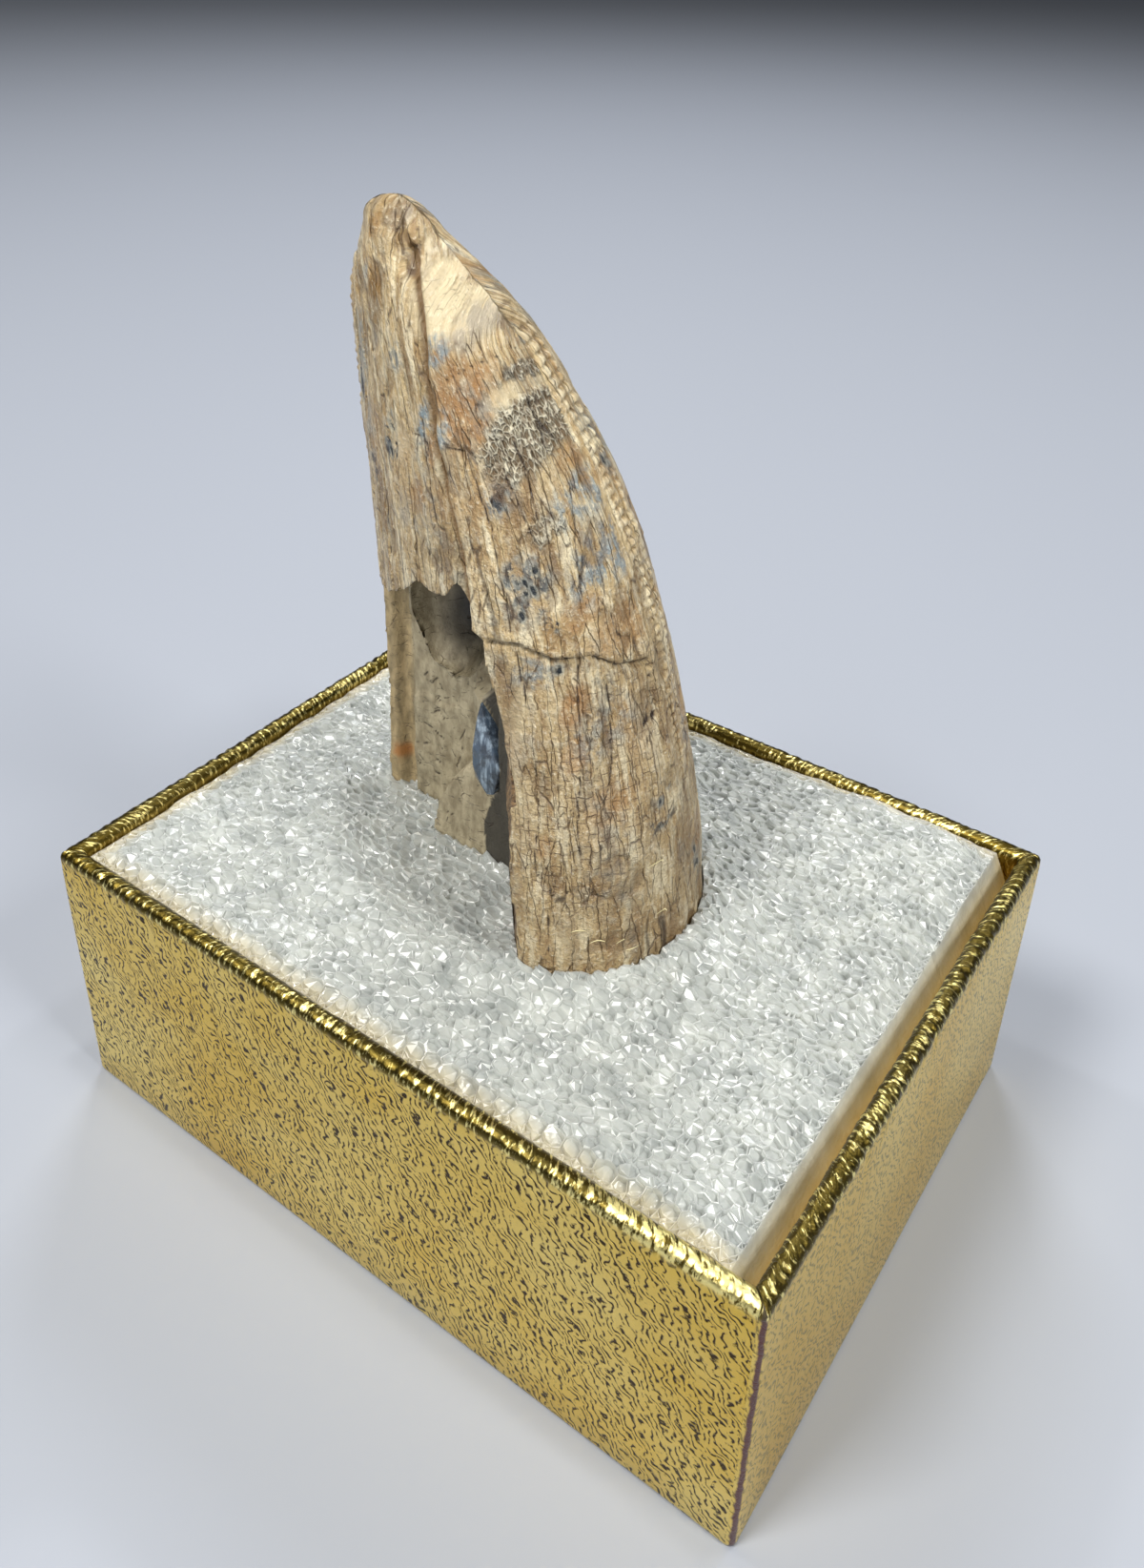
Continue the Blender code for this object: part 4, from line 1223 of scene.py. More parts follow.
def foil_profile():
    """Levels of the foil from under the box, over the rim and back: inset and height."""
    outer_radius = 0.5 * RIM_WIDTH
    inner_radius = outer_radius - FOIL_THICKNESS
    hem = BOX_HEIGHT - TURN_IN
    levels = list(FOIL_FOOT)
    foot_top = FOIL_FOOT[-1][1]
    top = BOX_HEIGHT - outer_radius
    levels += [(0.0, foot_top + (top - foot_top) * step / FOIL_LEVELS) for step in range(1, FOIL_LEVELS)]
    levels += [(0.0, top - foot) for foot in RIM_FEET]
    for step in range(RIM_STEPS + 1):
        angle = pi * step / RIM_STEPS
        levels.append((outer_radius * (1.0 - cos(angle)), top + outer_radius * sin(angle)))
    levels += [(RIM_WIDTH, FOIL_INNER_ROW), (RIM_WIDTH, hem), (RIM_WIDTH - FOIL_THICKNESS, hem)]
    for step in range(HEM_STEPS, -1, -1):
        angle = pi * step / HEM_STEPS
        inset = FOIL_THICKNESS + inner_radius * (1.0 - cos(angle))
        levels.append((inset, top + inner_radius * sin(angle)))
    levels.append((FOIL_THICKNESS, FOIL_THICKNESS))
    return levels


def wall_point(travel, inset, height):
    """Place on a rounded rectangle at a distance round the box from the front corner."""
    length = BOX_LENGTH - 2.0 * CORNER_RADIUS
    width = BOX_WIDTH - 2.0 * CORNER_RADIUS
    bend = 0.5 * pi * CORNER_RADIUS
    radius = max(CORNER_RADIUS - inset, INNER_CORNER_RADIUS)
    reach_x = 0.5 * BOX_LENGTH - inset - radius
    reach_y = 0.5 * BOX_WIDTH - inset - radius
    # Sides in order: right end, back, left end, front; each starts with half a corner bend
    for index, side in enumerate((width, length, width, length)):
        if travel <= bend + side or index == 3:
            break
        travel -= bend + side
    turned = min(travel / bend, 1.0) * 0.5 * pi
    along = min(max((travel - bend) / side, 0.0), 1.0)
    corners = ((1, -1), (1, 1), (-1, 1), (-1, -1))
    sign_x, sign_y = corners[index]
    next_x, next_y = corners[(index + 1) % 4]
    centre_x = (sign_x + (next_x - sign_x) * along) * reach_x
    centre_y = (sign_y + (next_y - sign_y) * along) * reach_y
    angle = 0.5 * pi * (index - 1) + turned
    return centre_x + radius * cos(angle), centre_y + radius * sin(angle), cos(angle), sin(angle)


def foil_creases(travel, inset, place):
    """How far the outside of the foil is pressed in, and how far its crumpled rim drops, in mm."""
    height = place.z
    above = float(blend_steps(RIM_BOTTOM - 1.6, RIM_BOTTOM + 0.2, height))
    ridge = noise.noise((travel * 1.1, inset * 0.35, height * 0.25 + 3.0))
    fold = noise.noise((travel * 2.3, 7.0 + inset * 0.9, height * 0.5))
    crease = above * (0.12 * abs(ridge) + 0.09 * abs(fold))
    dent = 0.5 + 0.5 * noise.noise((place.x * 0.09, place.y * 0.09, height * 0.12))
    push = crease + WALL_DENT * dent * (height > 0.3)
    return push, crease * float(blend_steps(RIM_BOTTOM, BOX_HEIGHT, height))


def build_foil(material):
    """The foil paper as one closed skin: underside, walls, crumpled rim and turned-in edge."""
    levels = foil_profile()
    rows = len(levels) - 1
    perimeter = 2.0 * (BOX_LENGTH + BOX_WIDTH - 4.0 * CORNER_RADIUS) + 2.0 * pi * CORNER_RADIUS
    bm = bmesh.new()
    bmesh.ops.create_grid(bm, x_segments=FOIL_COLUMNS, y_segments=rows, size=0.5)
    sheet = bm.loops.layers.uv.new("sheet")
    climb = [0.0]
    for (inset_a, height_a), (inset_b, height_b) in zip(levels, levels[1:]):
        climb.append(climb[-1] + hypot(inset_b - inset_a, height_b - height_a))
    outside_rows = len(FOIL_FOOT) + FOIL_LEVELS + len(RIM_FEET) + RIM_STEPS
    for vert in bm.verts:
        travel = perimeter * (vert.co.x + 0.5)
        row = round((vert.co.y + 0.5) * rows)
        inset, height = levels[row]
        for loop in vert.link_loops:
            loop[sheet].uv = (travel, climb[row])
        x, y, out_x, out_y = wall_point(travel % perimeter, inset, height)
        push = drop = 0.0
        if row < outside_rows:
            push, drop = foil_creases(travel, inset, Vector((x, y, height)))
        vert.co = Vector((x - out_x * push, y - out_y * push, height - drop))
    close_tube(bm)
    smooth_faces(bm)
    foil = object_from("foil_skin", bm, [material])
    height = mesh_points(foil.data)[:, 2]
    add_values(foil.data, "rim", blend_steps(RIM_BOTTOM - 0.25, RIM_BOTTOM + 0.10, height))
    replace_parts(finish_piece(foil), "foil_wrap")


def read_value(tree, name, output="Fac"):
    """One number, or with output Vector three, stored on the mesh under a name."""
    return add_node(tree, "ShaderNodeAttribute", attribute_name=name).outputs[output]


def place_in_mm(tree):
    """Place on the object in millimetres."""
    place = add_node(tree, "ShaderNodeTexCoord").outputs["Object"]
    return vector_math(tree, "SCALE", {0: place, "Scale": 1.0 / MM})


def vector_math(tree, operation, inputs):
    """A sum, scaling or other change of a vector."""
    return add_node(tree, "ShaderNodeVectorMath", inputs, operation=operation).outputs[0]


def split_vector(tree, vector):
    """The three parts of a vector, as X, Y and Z."""
    return add_node(tree, "ShaderNodeSeparateXYZ", {"Vector": vector}).outputs


def combine_values(tree, operation, first, second=0.5):
    """A sum, product or other pairing of two values."""
    return add_node(tree, "ShaderNodeMath", {0: first, 1: second}, operation=operation).outputs[0]


def times(tree, first, second):
    """Product of two values."""
    return combine_values(tree, "MULTIPLY", first, second)


def plus(tree, first, second):
    """Sum of two values."""
    return combine_values(tree, "ADD", first, second)


def minus(tree, first, second):
    """Difference of two values."""
    return combine_values(tree, "SUBTRACT", first, second)


def ramp_share(tree, value, low, high):
    """Rise from 0 to 1 while a value goes from low to high."""
    inputs = {"Value": value, "From Min": low, "From Max": high}
    return add_node(tree, "ShaderNodeMapRange", inputs, clamp=True).outputs["Result"]


def faint_ramp(tree, value, low, high, most):
    """Rise from 0 to most while a value goes from low to high."""
    return times(tree, ramp_share(tree, value, low, high), most)


def spread(tree, value, low, high):
    """A value from 0 to 1 turned into one from low to high."""
    inputs = {"Value": value, "To Min": low, "To Max": high}
    return add_node(tree, "ShaderNodeMapRange", inputs).outputs[0]


def mix_colours(tree, share, low, high):
    """Colour between low and high."""
    inputs = {0: share, 6: low, 7: high}
    return add_node(tree, "ShaderNodeMix", inputs, data_type="RGBA", clamp_factor=True).outputs[2]


def two_tone(tree, value, low, high, first_code, second_code):
    """From one hex colour to another while a value goes from low to high."""
    return mix_colours(tree, ramp_share(tree, value, low, high), paint(first_code), paint(second_code))


def coat(tree, colour, share, code):
    """Lay a hex colour over a colour as far as the share says."""
    return mix_colours(tree, share, colour, paint(code))


def mapped_place(tree, vector, scale, shift=0.0):
    """Places on which 1 unit is 1 / scale mm long along each axis."""
    inputs = {"Vector": vector, "Scale": scale, "Location": (shift, shift, shift)}
    return add_node(tree, "ShaderNodeMapping", inputs).outputs[0]


def stretched_noise(tree, vector, scale, detail=4.0, shift=0.0):
    """Noise whose lumps are 1 / scale mm long along each axis."""
    mapped = mapped_place(tree, vector, scale, shift)
    inputs = {"Vector": mapped, "Scale": 1.0, "Detail": detail, "Roughness": 0.6}
    return add_node(tree, "ShaderNodeTexNoise", inputs).outputs["Fac"]


def cell_pattern(tree, vector, scale, output, feature="F1", randomness=1.0, shift=0.0):
    """One output of a pattern of cells that are 1 / scale mm long along each axis."""
    mapped = mapped_place(tree, vector, scale, shift)
    inputs = {"Vector": mapped, "Scale": 1.0, "Randomness": randomness}
    return add_node(tree, "ShaderNodeTexVoronoi", inputs, feature=feature).outputs[output]


def crack_net(tree, vector, scale, width, shift=0.0):
    """1 along the borders of stretched cells and 0 inside them."""
    border = cell_pattern(tree, vector, scale, "Distance", "DISTANCE_TO_EDGE", 0.9, shift)
    return ramp_share(tree, border, width, 0.0)


def relief(tree, strength, depth, height):
    """Small relief of a depth in mm, for the light alone."""
    inputs = {"Strength": strength, "Distance": depth * MM, "Height": height}
    return add_node(tree, "ShaderNodeBump", inputs).outputs[0]


def close_material(tree, inputs):
    """Finish a material with a Principled surface."""
    surface = add_node(tree, "ShaderNodeBsdfPrincipled", inputs)
    add_node(tree, "ShaderNodeOutputMaterial", {"Surface": surface.outputs[0]})


def enamel_patterns(tree):
    """Places on the enamel, plain and shaken, and the noises that its colour and relief share."""
    grain = read_value(tree, "grain", "Vector")
    inputs = {"Vector": grain, "Scale": 1.1, "Detail": 4.0}
    shake = add_node(tree, "ShaderNodeTexNoise", inputs).outputs["Color"]
    shake = vector_math(tree, "SUBTRACT", {0: shake, 1: (0.5, 0.5, 0.5)})
    shake = vector_math(tree, "SCALE", {0: shake, "Scale": ENAMEL_SHAKE})
    patterns = {"grain": grain, "shaken": vector_math(tree, "ADD", {0: grain, 1: shake})}
    for name, place, scale, detail, shift in ENAMEL_NOISES:
        patterns[name] = stretched_noise(tree, patterns[place], scale, detail, shift)
    patterns["level"] = split_vector(tree, grain)["Y"]
    return patterns


def stained_enamel(tree, settings, patterns, plain):
    """Tan and cream in upright strips, darker low down, with its stains, fine streaks and specks."""
    share = ramp_share(tree, patterns["broad"], 0.36, 0.62)
    colour = mix_colours(tree, share, settings.enamel_tan, settings.enamel_cream)
    colour = coat(tree, colour, ramp_share(tree, patterns["strips"], 0.51, 0.60), "#EADBB6")
    for name, low, high, most, code in ENAMEL_COATS:
        colour = coat(tree, colour, faint_ramp(tree, patterns[name], low, high, most), code)
    for kind, code, low, high in STAIN_LOOKS:
        seen = ramp_share(tree, patterns["blotch"], low, high)
        colour = coat(tree, colour, times(tree, read_value(tree, kind), seen), code)
    streaks = times(tree, faint_ramp(tree, patterns["fine"], 0.47, 0.34, 0.60), plain)
    colour = coat(tree, colour, streaks, "#6A4F30")
    colour = coat(tree, colour, faint_ramp(tree, patterns["speckle"], 0.56, 0.66, 0.55), "#F0E4C8")
    specks = times(tree, faint_ramp(tree, patterns["speckle"], 0.42, 0.32, 0.60), plain)
    return coat(tree, colour, specks, "#5C4630")


def comb_patch(tree, patterns, colour):
    """Honeycomb of pits with pale walls: the colour with it laid on, and its height."""
    pits = cell_pattern(tree, patterns["shaken"], (3.3, 2.7, 0.0), "Distance", "DISTANCE_TO_EDGE")
    walls = ramp_share(tree, pits, 0.20, 0.06)
    combed = mix_colours(tree, walls, paint("#5A5546"), paint("#E2DCC6"))
    frayed = plus(tree, read_value(tree, "comb"), times(tree, patterns["blotch"], 0.9))
    seen = ramp_share(tree, frayed, 0.70, 1.15)
    colour = mix_colours(tree, times(tree, seen, 0.75), colour, combed)
    return colour, times(tree, times(tree, walls, seen), 2.2)


def enamel_hairlines(tree, patterns, plain):
    """Hairline cracks: long upright ones, and short ones laid like bricks low down."""
    shaken, grain = patterns["shaken"], patterns["grain"]
    lines = crack_net(tree, shaken, (1.5, 0.20, 0.0), 0.026)
    seen = ramp_share(tree, stretched_noise(tree, grain, (0.8, 0.5, 0.0), 4.0, 5.0), 0.40, 0.50)
    lines = times(tree, times(tree, lines, seen), plain)
    apart = split_vector(tree, shaken)
    turned = add_node(tree, "ShaderNodeCombineXYZ", {"X": apart["Y"], "Y": apart["X"]}).outputs[0]
    inputs = {
        "Vector": turned, "Scale": 1.0, "Mortar Size": 0.030, "Mortar Smooth": 0.3,
        "Brick Width": 1.1, "Row Height": 0.48,
    }
    bricks = add_node(tree, "ShaderNodeTexBrick", inputs, offset=0.5, squash=0.7, squash_frequency=3)
    seen = ramp_share(tree, stretched_noise(tree, grain, (1.1, 0.9, 0.0), 5.0, 25.0), 0.40, 0.54)
    bricks = times(tree, times(tree, bricks.outputs["Fac"], seen), read_value(tree, "brick"))
    return combine_values(tree, "MAXIMUM", lines, bricks)


def ink_dots(tree, patterns, colour):
    """Blue-black dots with grey halos: the colour with them laid on, and where the dots are."""
    dots = cell_pattern(tree, patterns["shaken"], (1.5, 1.0, 0.0), "Distance")
    dots = plus(tree, dots, times(tree, patterns["speckle"], 0.5))
    dots = minus(tree, dots, 0.25)
    inked = ramp_share(tree, read_value(tree, "ink"), 0.15, 0.55)
    halo = times(tree, ramp_share(tree, dots, 0.55, 0.30), inked)
    colour = coat(tree, colour, times(tree, halo, 0.65), "#A0A39A")
    spots = times(tree, ramp_share(tree, dots, 0.28, 0.17), inked)
    return coat(tree, colour, spots, "#1B2329"), spots


def enamel_material(settings):
    """Fossil enamel: tan and cream in upright strips, stained, with dark cracks and a satin shine."""
    material, tree = new_material("fossil tooth enamel")
    patterns = enamel_patterns(tree)
    plain = minus(tree, 1.0, read_value(tree, "pale"))
    colour = stained_enamel(tree, settings, patterns, plain)
    colour, comb_height = comb_patch(tree, patterns, colour)
    raised = read_value(tree, "raised")
    # Paler where the relief stands up and darker where it sinks: painted highlight and painted shade of the
    # relief
    colour = coat(tree, colour, faint_ramp(tree, raised, 0.01, 0.08, 0.45), "#EBDCB8")
    colour = coat(tree, colour, faint_ramp(tree, raised, -0.03, -0.11, 0.55), "#6E5334")
    hair = enamel_hairlines(tree, patterns, plain)
    colour = coat(tree, colour, times(tree, hair, 0.78), "#4A3019")
    colour = coat(tree, colour, ramp_share(tree, read_value(tree, "split"), 0.15, 0.75), "#8D7049")
    colour, spots = ink_dots(tree, patterns, colour)
    colour = coat(tree, colour, ramp_share(tree, read_value(tree, "crack"), 0.45, 0.95), "#2C1A0E")
    plates = cell_pattern(tree, patterns["shaken"], (1.7, 0.9, 0.0), "Color")
    patterns["plates"] = split_vector(tree, plates)["X"]
    depth = plus(tree, comb_height, times(tree, hair, -1.2))
    depth = plus(tree, depth, times(tree, spots, -0.8))
    for name, size in (("speckle", 2.4), ("fine", 1.0), ("plates", 0.8), ("blotch", 1.8)):
        depth = plus(tree, depth, times(tree, patterns[name], size))
    depth = times(tree, depth, ramp_share(tree, read_value(tree, "pale"), 1.7, 0.3))
    close_material(tree, {
        "Base Color": colour,
        "Roughness": spread(tree, patterns["speckle"], 0.44, 0.20),
        "IOR": 1.55,
        "Normal": relief(tree, 1.0, 0.09, depth),
    })
    return material


def filling_material():
    """Mineral filling and broken dentine: grey tan, dark brown across the broken wall, dull, with painted
    shade in the end of the pulp cavity and in the cleft.
    """
    material, tree = new_material("mineral filling and dentine")
    grain = read_value(tree, "grain", "Vector")
    place = place_in_mm(tree)
    mottle = stretched_noise(tree, place, (1.6, 1.6, 0.7), 5.0)
    specks = stretched_noise(tree, place, (6.0, 6.0, 5.0), 4.0, 4.0)
    colour = two_tone(tree, mottle, 0.38, 0.62, "#8C8066", "#B5A98C")
    layered = stretched_noise(tree, grain, (0.3, 0.25, 5.0), 4.0, 2.0)
    walls = two_tone(tree, layered, 0.40, 0.60, "#4C3A28", "#8F7250")
    walls = coat(tree, walls, ramp_share(tree, specks, 0.60, 0.70), "#C9B48A")
    colour = mix_colours(tree, read_value(tree, "wall"), colour, walls)
    strip = two_tone(tree, mottle, 0.36, 0.60, "#8B7B5A", "#BBA57C")
    colour = mix_colours(tree, read_value(tree, "rim"), colour, strip)
    colour = coat(tree, colour, times(tree, read_value(tree, "amber"), 0.8), "#B5732F")
    # Painted shade in the end of the pulp cavity and in the cleft beside the crystal
    colour = coat(tree, colour, read_value(tree, "cavity_shade"), "#2C2A26")
    hair = crack_net(tree, place, (0.5, 0.5, 1.6), 0.02, 6.0)
    seen = ramp_share(tree, stretched_noise(tree, place, (1.6, 1.6, 1.6), 3.0, 8.0), 0.50, 0.58)
    opened = ramp_share(tree, read_value(tree, "crack"), 0.3, 0.8)
    hair = combine_values(tree, "MAXIMUM", times(tree, hair, seen), opened)
    colour = coat(tree, colour, times(tree, hair, 0.8), "#33281C")
    height = plus(tree, times(tree, specks, 0.8), times(tree, hair, -0.8))
    normal = relief(tree, 0.9, 0.08, height)
    close_material(tree, {"Base Color": colour, "Roughness": 0.55, "IOR": 1.55, "Normal": normal})
    return material


def crystal_material():
    """Blue-grey mineral crystal: glassy, with pale streaks along it."""
    material, tree = new_material("blue grey crystal")
    place = place_in_mm(tree)
    streaks = stretched_noise(tree, place, (2.6, 2.6, 0.35), 4.0)
    veins = stretched_noise(tree, place, (1.2, 1.2, 1.0), 4.0, 5.0)
    colour = two_tone(tree, streaks, 0.45, 0.62, "#4A5B6E", "#A9BCCD")
    close_material(tree, {
        "Base Color": coat(tree, colour, ramp_share(tree, veins, 0.55, 0.40), "#39434F"),
        "Roughness": 0.14,
        "IOR": 1.55,
        "Coat Weight": 0.5,
        "Normal": relief(tree, 0.5, 0.05, streaks),
    })
    return material


def fibre_material():
    """Splinter of enamel: pale yellow and smooth."""
    material, tree = new_material("enamel splinter")
    close_material(tree, {"Base Color": paint("#E6D9A6"), "Roughness": 0.3, "IOR": 1.55})
    return material


def foam_material(settings):
    """White plastic foam: lets light through a little, with glossy cell walls and painted glints on some of
    their facets.
    """
    material, tree = new_material("white polyethylene foam")
    place = place_in_mm(tree)
    cloud = stretched_noise(tree, place, (0.5, 0.5, 0.5), 3.0)
    film = stretched_noise(tree, place, (4.0, 4.0, 4.0), 2.0, 3.0)
    share = ramp_share(tree, cloud, 0.35, 0.65)
    colour = mix_colours(tree, share, settings.foam_shade, settings.foam_white)
    glint_facet = read_value(tree, "film")
    # Near-white on a few cell facets: painted glints
    colour = coat(tree, colour, ramp_share(tree, glint_facet, 0.84, 0.92), "#F2F4F1")
    close_material(tree, {
        "Base Color": coat(tree, colour, times(tree, read_value(tree, "edge"), 0.75), "#D8B85A"),
        "Roughness": spread(tree, film, 0.04, 0.30),
        "IOR": 1.5,
        "Coat Weight": ramp_share(tree, glint_facet, 0.60, 0.70),
        "Coat Roughness": 0.08,
        "Subsurface Weight": 0.70,
        "Subsurface Radius": (1.0, 1.0, 1.0),
        "Subsurface Scale": 0.6 * MM,
        "Normal": relief(tree, 0.6, 0.06, film),
    })
    return material


def foil_grooves(tree, sheet):
    """1 in the short wavy grooves that are pressed into the foil."""
    swirl = stretched_noise(tree, sheet, (0.62, 0.62, 1.0), 2.0)
    inputs = {"Vector": sheet, "Rotation": (0.0, 0.0, radians(GROOVE_TURN))}
    tilt = add_node(tree, "ShaderNodeMapping", inputs).outputs[0]
    across = times(tree, split_vector(tree, tilt)["X"], 2.1)
    phase = plus(tree, across, times(tree, swirl, 5.5))
    groove = ramp_share(tree, combine_values(tree, "PINGPONG", phase), 0.24, 0.10)
    cut = stretched_noise(tree, tilt, (2.6, 1.9, 1.0), 2.0, 9.0)
    return times(tree, groove, ramp_share(tree, cut, 0.41, 0.50))


def foil_seam(tree, sheet, travel):
    """1 along the wavering dark seam beside the front corner."""
    waver = times(tree, stretched_noise(tree, sheet, (1.0, 1.0, 1.0), 4.0, 33.0), 0.5)
    offset = minus(tree, plus(tree, travel, waver), SEAM_TRAVEL)
    return ramp_share(tree, combine_values(tree, "ABSOLUTE", offset), 0.26, 0.14)


def painted_rim_reflection(tree, sheet, travel):
    """Painted dark reflections and painted glints on the folds of the crumpled rim, with more painted
    glints near the front corner.
    """
    glints = stretched_noise(tree, sheet, (4.0, 1.3, 1.0), 4.0, 41.0)
    glow = stretched_noise(tree, sheet, (0.12, 0.1, 1.0), 2.0, 47.0)
    glints = plus(tree, glints, times(tree, glow, 0.25))
    glints = plus(tree, glints, faint_ramp(tree, travel, *RIM_PAINTED_GLINTS, 0.14))
    return two_tone(tree, glints, 0.66, 0.74, "#3A310F", "#FFEFA0")


def foil_material(settings):
    """Gold foil paper: bright metal pressed with short wavy grooves that hold painted shade, and a rim
    painted with dark reflections and glints.
    """
    material, tree = new_material("embossed gold foil paper")
    sheet = add_node(tree, "ShaderNodeUVMap", uv_map="sheet").outputs["UV"]
    travel = split_vector(tree, sheet)["X"]
    grit = stretched_noise(tree, sheet, (9.0, 9.0, 1.0), 3.0, 5.0)
    broad = stretched_noise(tree, sheet, (0.08, 0.10, 1.0), 2.0, 1.0)
    share = ramp_share(tree, broad, 0.35, 0.65)
    colour = mix_colours(tree, share, settings.foil_gold, settings.foil_glow)
    rim = read_value(tree, "rim")
    # Painted shade in the pressed grooves, weaker on the right end of the box and left off the rim
    right_end = faint_ramp(tree, travel, BOX_WIDTH + 0.5, BOX_WIDTH - 1.0, 0.45)
    face = minus(tree, minus(tree, 1.0, rim), right_end)
    groove = times(tree, foil_grooves(tree, sheet), face)
    colour = coat(tree, colour, groove, "#3A2600")
    seam = foil_seam(tree, sheet, travel)
    colour = coat(tree, colour, seam, "#4A2018")
    height = plus(tree, times(tree, groove, -1.0), times(tree, grit, 0.6))
    # On the rim the colour gives way to painted dark reflections and painted glints
    close_material(tree, {
        "Base Color": mix_colours(tree, times(tree, rim, 0.92), colour, painted_rim_reflection(tree, sheet, travel)),
        "Metallic": minus(tree, 1.0, seam),
        "Roughness": spread(tree, grit, 0.22, 0.40),
        "Normal": relief(tree, 0.8, 0.05, height),
    })
    return material


def board_material():
    """Grey chipboard: fibrous, matt, and hidden under the foil."""
    material, tree = new_material("grey chipboard")
    fibres = stretched_noise(tree, place_in_mm(tree), (1.5, 6.0, 6.0), 5.0)
    colour = mix_colours(tree, fibres, paint("#8E8778"), paint("#B5AD9C"))
    normal = relief(tree, 0.5, 0.05, fibres)
    close_material(tree, {"Base Color": colour, "Roughness": 0.9, "IOR": 1.47, "Normal": normal})
    return material


def floor_material():
    """Plain pale studio floor."""
    material, tree = new_material("pale studio floor")
    close_material(tree, {"Base Color": paint("#9DA2AC"), "Roughness": 0.6, "IOR": 1.5})
    return material


def add_lamp(name, place, size, power, tint):
    """A soft lamp that faces the middle of the box."""
    lamp = bpy.data.lights.new(name, "AREA")
    lamp.shape = "RECTANGLE"
    lamp.size, lamp.size_y = size
    lamp.energy = power
    lamp.color = paint(tint)[:3]
    item = bpy.data.objects.new(name, lamp)
    item.location = place
    aim = Vector(LAMP_AIM) - Vector(place)
    item.rotation_euler = aim.to_track_quat("-Z", "Y").to_euler()
    bpy.context.scene.collection.objects.link(item)


def build_stage(settings):
    """Floor, soft lamps and the camera of the photograph."""
    bm = bmesh.new()
    bmesh.ops.create_grid(bm, x_segments=1, y_segments=1, size=FLOOR_HALF)
    floor = object_from("floor", bm, [floor_material()])
    for lamp in LAMPS:
        add_lamp(*lamp)
    scene = bpy.context.scene
    world = bpy.data.worlds.new("studio")
    scene.world = world
    world.use_nodes = True
    world.node_tree.nodes.clear()
    tree = world.node_tree
    inputs = {"Color": paint("#9DA3AC"), "Strength": settings.fill_light}
    back = add_node(tree, "ShaderNodeBackground", inputs)
    add_node(tree, "ShaderNodeOutputWorld", {"Surface": back.outputs[0]})
    camera = bpy.data.cameras.new("camera")
    camera.sensor_width = SENSOR
    camera.sensor_fit = "AUTO"
    camera.lens = FOCAL_PIXELS * SENSOR / IMAGE_SIZE[1]
    camera.shift_y = (VIEW_CENTRE_V - 0.5 * IMAGE_SIZE[1]) / IMAGE_SIZE[1]
    camera.clip_start = 0.005
    item = bpy.data.objects.new("camera", camera)
    right = Vector(CAMERA_RIGHT)
    up = Vector(CAMERA_UP)
    back_way = right.cross(up)
    turned = Matrix((right, up, back_way)).transposed().to_4x4()
    item.matrix_world = Matrix.Translation(Vector(CAMERA_PLACE) * MM) @ turned
    scene.collection.objects.link(item)
    scene.camera = item
    scene.render.resolution_x, scene.render.resolution_y = IMAGE_SIZE
    scene.view_settings.view_transform = "Standard"
    scene.view_settings.look = "None"


def length_setting(name, description, size, least, most):
    """A length that the user may change, given here in millimetres."""
    return bpy.props.FloatProperty(
        name=name, description=description, default=size * MM, min=least * MM, max=most * MM,
        unit="LENGTH", precision=5,
    )


def colour_setting(name, description, code):
    """A colour that the user may change."""
    return bpy.props.FloatVectorProperty(
        name=name, description=description, default=paint(code), min=0.0, max=1.0, size=4, subtype="COLOR",
    )


class FossilToothSettings(bpy.types.PropertyGroup):
    """Sizes and colours that a user would change."""

    denticle_pitch: length_setting(
        "Denticle pitch", "Distance from one denticle of the serrated edges to the next",
        DENTICLE_PITCH, 0.3, 2.0,
    )
    cell_depth: length_setting("Cell depth", "How deep each burst foam cell goes", CELL_SINK, 0.0, 0.5)
    enamel_tan: colour_setting("Enamel tan", "Darker ground colour of the enamel", "#B89C6D")
    enamel_cream: colour_setting("Enamel cream", "Lighter ground colour of the enamel", "#D2BB8D")
    foam_shade: colour_setting("Foam shade", "Darker colour of the foam", "#A2A6A3")
    foam_white: colour_setting("Foam white", "Lighter colour of the foam", "#BABDB8")
    foil_gold: colour_setting("Foil gold", "Deeper gold of the foil", "#E8C250")
    foil_glow: colour_setting("Foil glow", "Paler gold of the foil", "#F2D67A")
    fill_light: bpy.props.FloatProperty(
        name="Fill light", description="Strength of the light from all round",
        default=0.12, min=0.0, max=3.0, subtype="FACTOR",
    )


class FOSSIL_OT_tooth(bpy.types.Operator):
    """Build the cracked tooth with its serrated edges and splinters"""

    bl_idname = "fossil.tooth"
    bl_label = "Fossil tooth"

    def execute(self, context):
        settings = context.scene.fossil_tooth
        enamel = enamel_material(settings)
        pitch = settings.denticle_pitch / MM
        build_tooth([enamel, filling_material()])
        build_crystal(crystal_material())
        serrated_edge("front_serrations", MESIAL_SERRATION, MESIAL_TURN, pitch, enamel)
        serrated_edge("back_serrations", DISTAL_SERRATION, DISTAL_TURN, pitch, enamel)
        build_fibres(fibre_material())
        return {"FINISHED"}


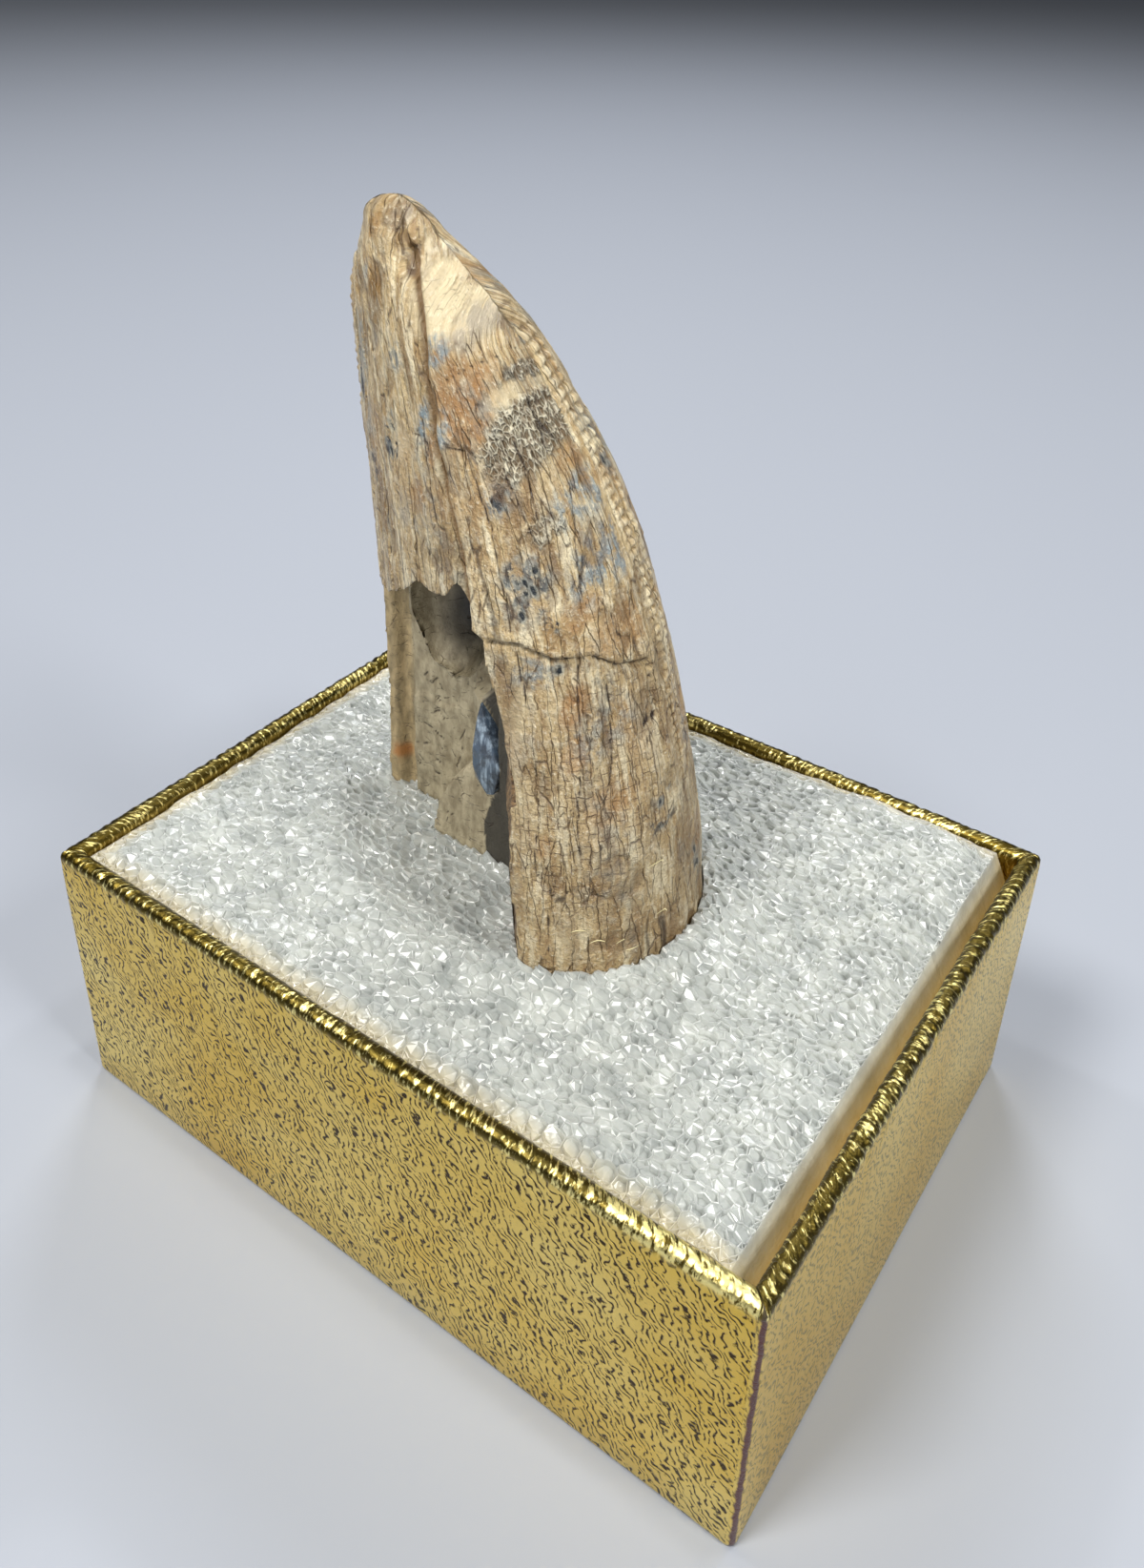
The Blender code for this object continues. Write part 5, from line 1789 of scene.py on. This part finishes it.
class FOSSIL_OT_foam(bpy.types.Operator):
    """Build the white foam pad with its burst cells"""

    bl_idname = "fossil.foam"
    bl_label = "Foam pad"

    def execute(self, context):
        settings = context.scene.fossil_tooth
        build_foam(foam_material(settings), settings.cell_depth / MM)
        return {"FINISHED"}


class FOSSIL_OT_box(bpy.types.Operator):
    """Build the gold foil and finish the board under it"""

    bl_idname = "fossil.box"
    bl_label = "Gift box"

    def execute(self, context):
        build_foil(foil_material(context.scene.fossil_tooth))
        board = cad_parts["box_board"]
        board.material_slots[0].material = board_material()
        return {"FINISHED"}


class FOSSIL_OT_stage(bpy.types.Operator):
    """Set up the floor, the lamps and the camera"""

    bl_idname = "fossil.stage"
    bl_label = "Studio"

    def execute(self, context):
        build_stage(context.scene.fossil_tooth)
        return {"FINISHED"}


class FOSSIL_PT_panel(bpy.types.Panel):
    """List of the pieces that can be built"""

    bl_idname = "FOSSIL_PT_panel"
    bl_label = "Fossil tooth"
    bl_space_type = "VIEW_3D"
    bl_region_type = "UI"
    bl_category = "Fossil tooth"

    def draw(self, context):
        settings = context.scene.fossil_tooth
        for field in settings.bl_rna.properties.keys():
            if field not in ("rna_type", "name"):
                self.layout.prop(settings, field)
        for operator in OPERATORS:
            self.layout.operator(operator.bl_idname)


OPERATORS = (FOSSIL_OT_tooth, FOSSIL_OT_foam, FOSSIL_OT_box, FOSSIL_OT_stage)
CLASSES = (FossilToothSettings, *OPERATORS, FOSSIL_PT_panel)


def register():
    """Make the settings, the operators and the panel known."""
    for item in CLASSES:
        bpy.utils.register_class(item)
    bpy.types.Scene.fossil_tooth = bpy.props.PointerProperty(type=FossilToothSettings)


def unregister():
    """Take the settings, the operators and the panel away again."""
    del bpy.types.Scene.fossil_tooth
    for item in reversed(CLASSES):
        bpy.utils.unregister_class(item)


def main():
    """Build every piece."""
    register()
    bpy.ops.fossil.tooth()
    bpy.ops.fossil.foam()
    bpy.ops.fossil.box()
    bpy.ops.fossil.stage()


if __name__ == "__main__":
    main()
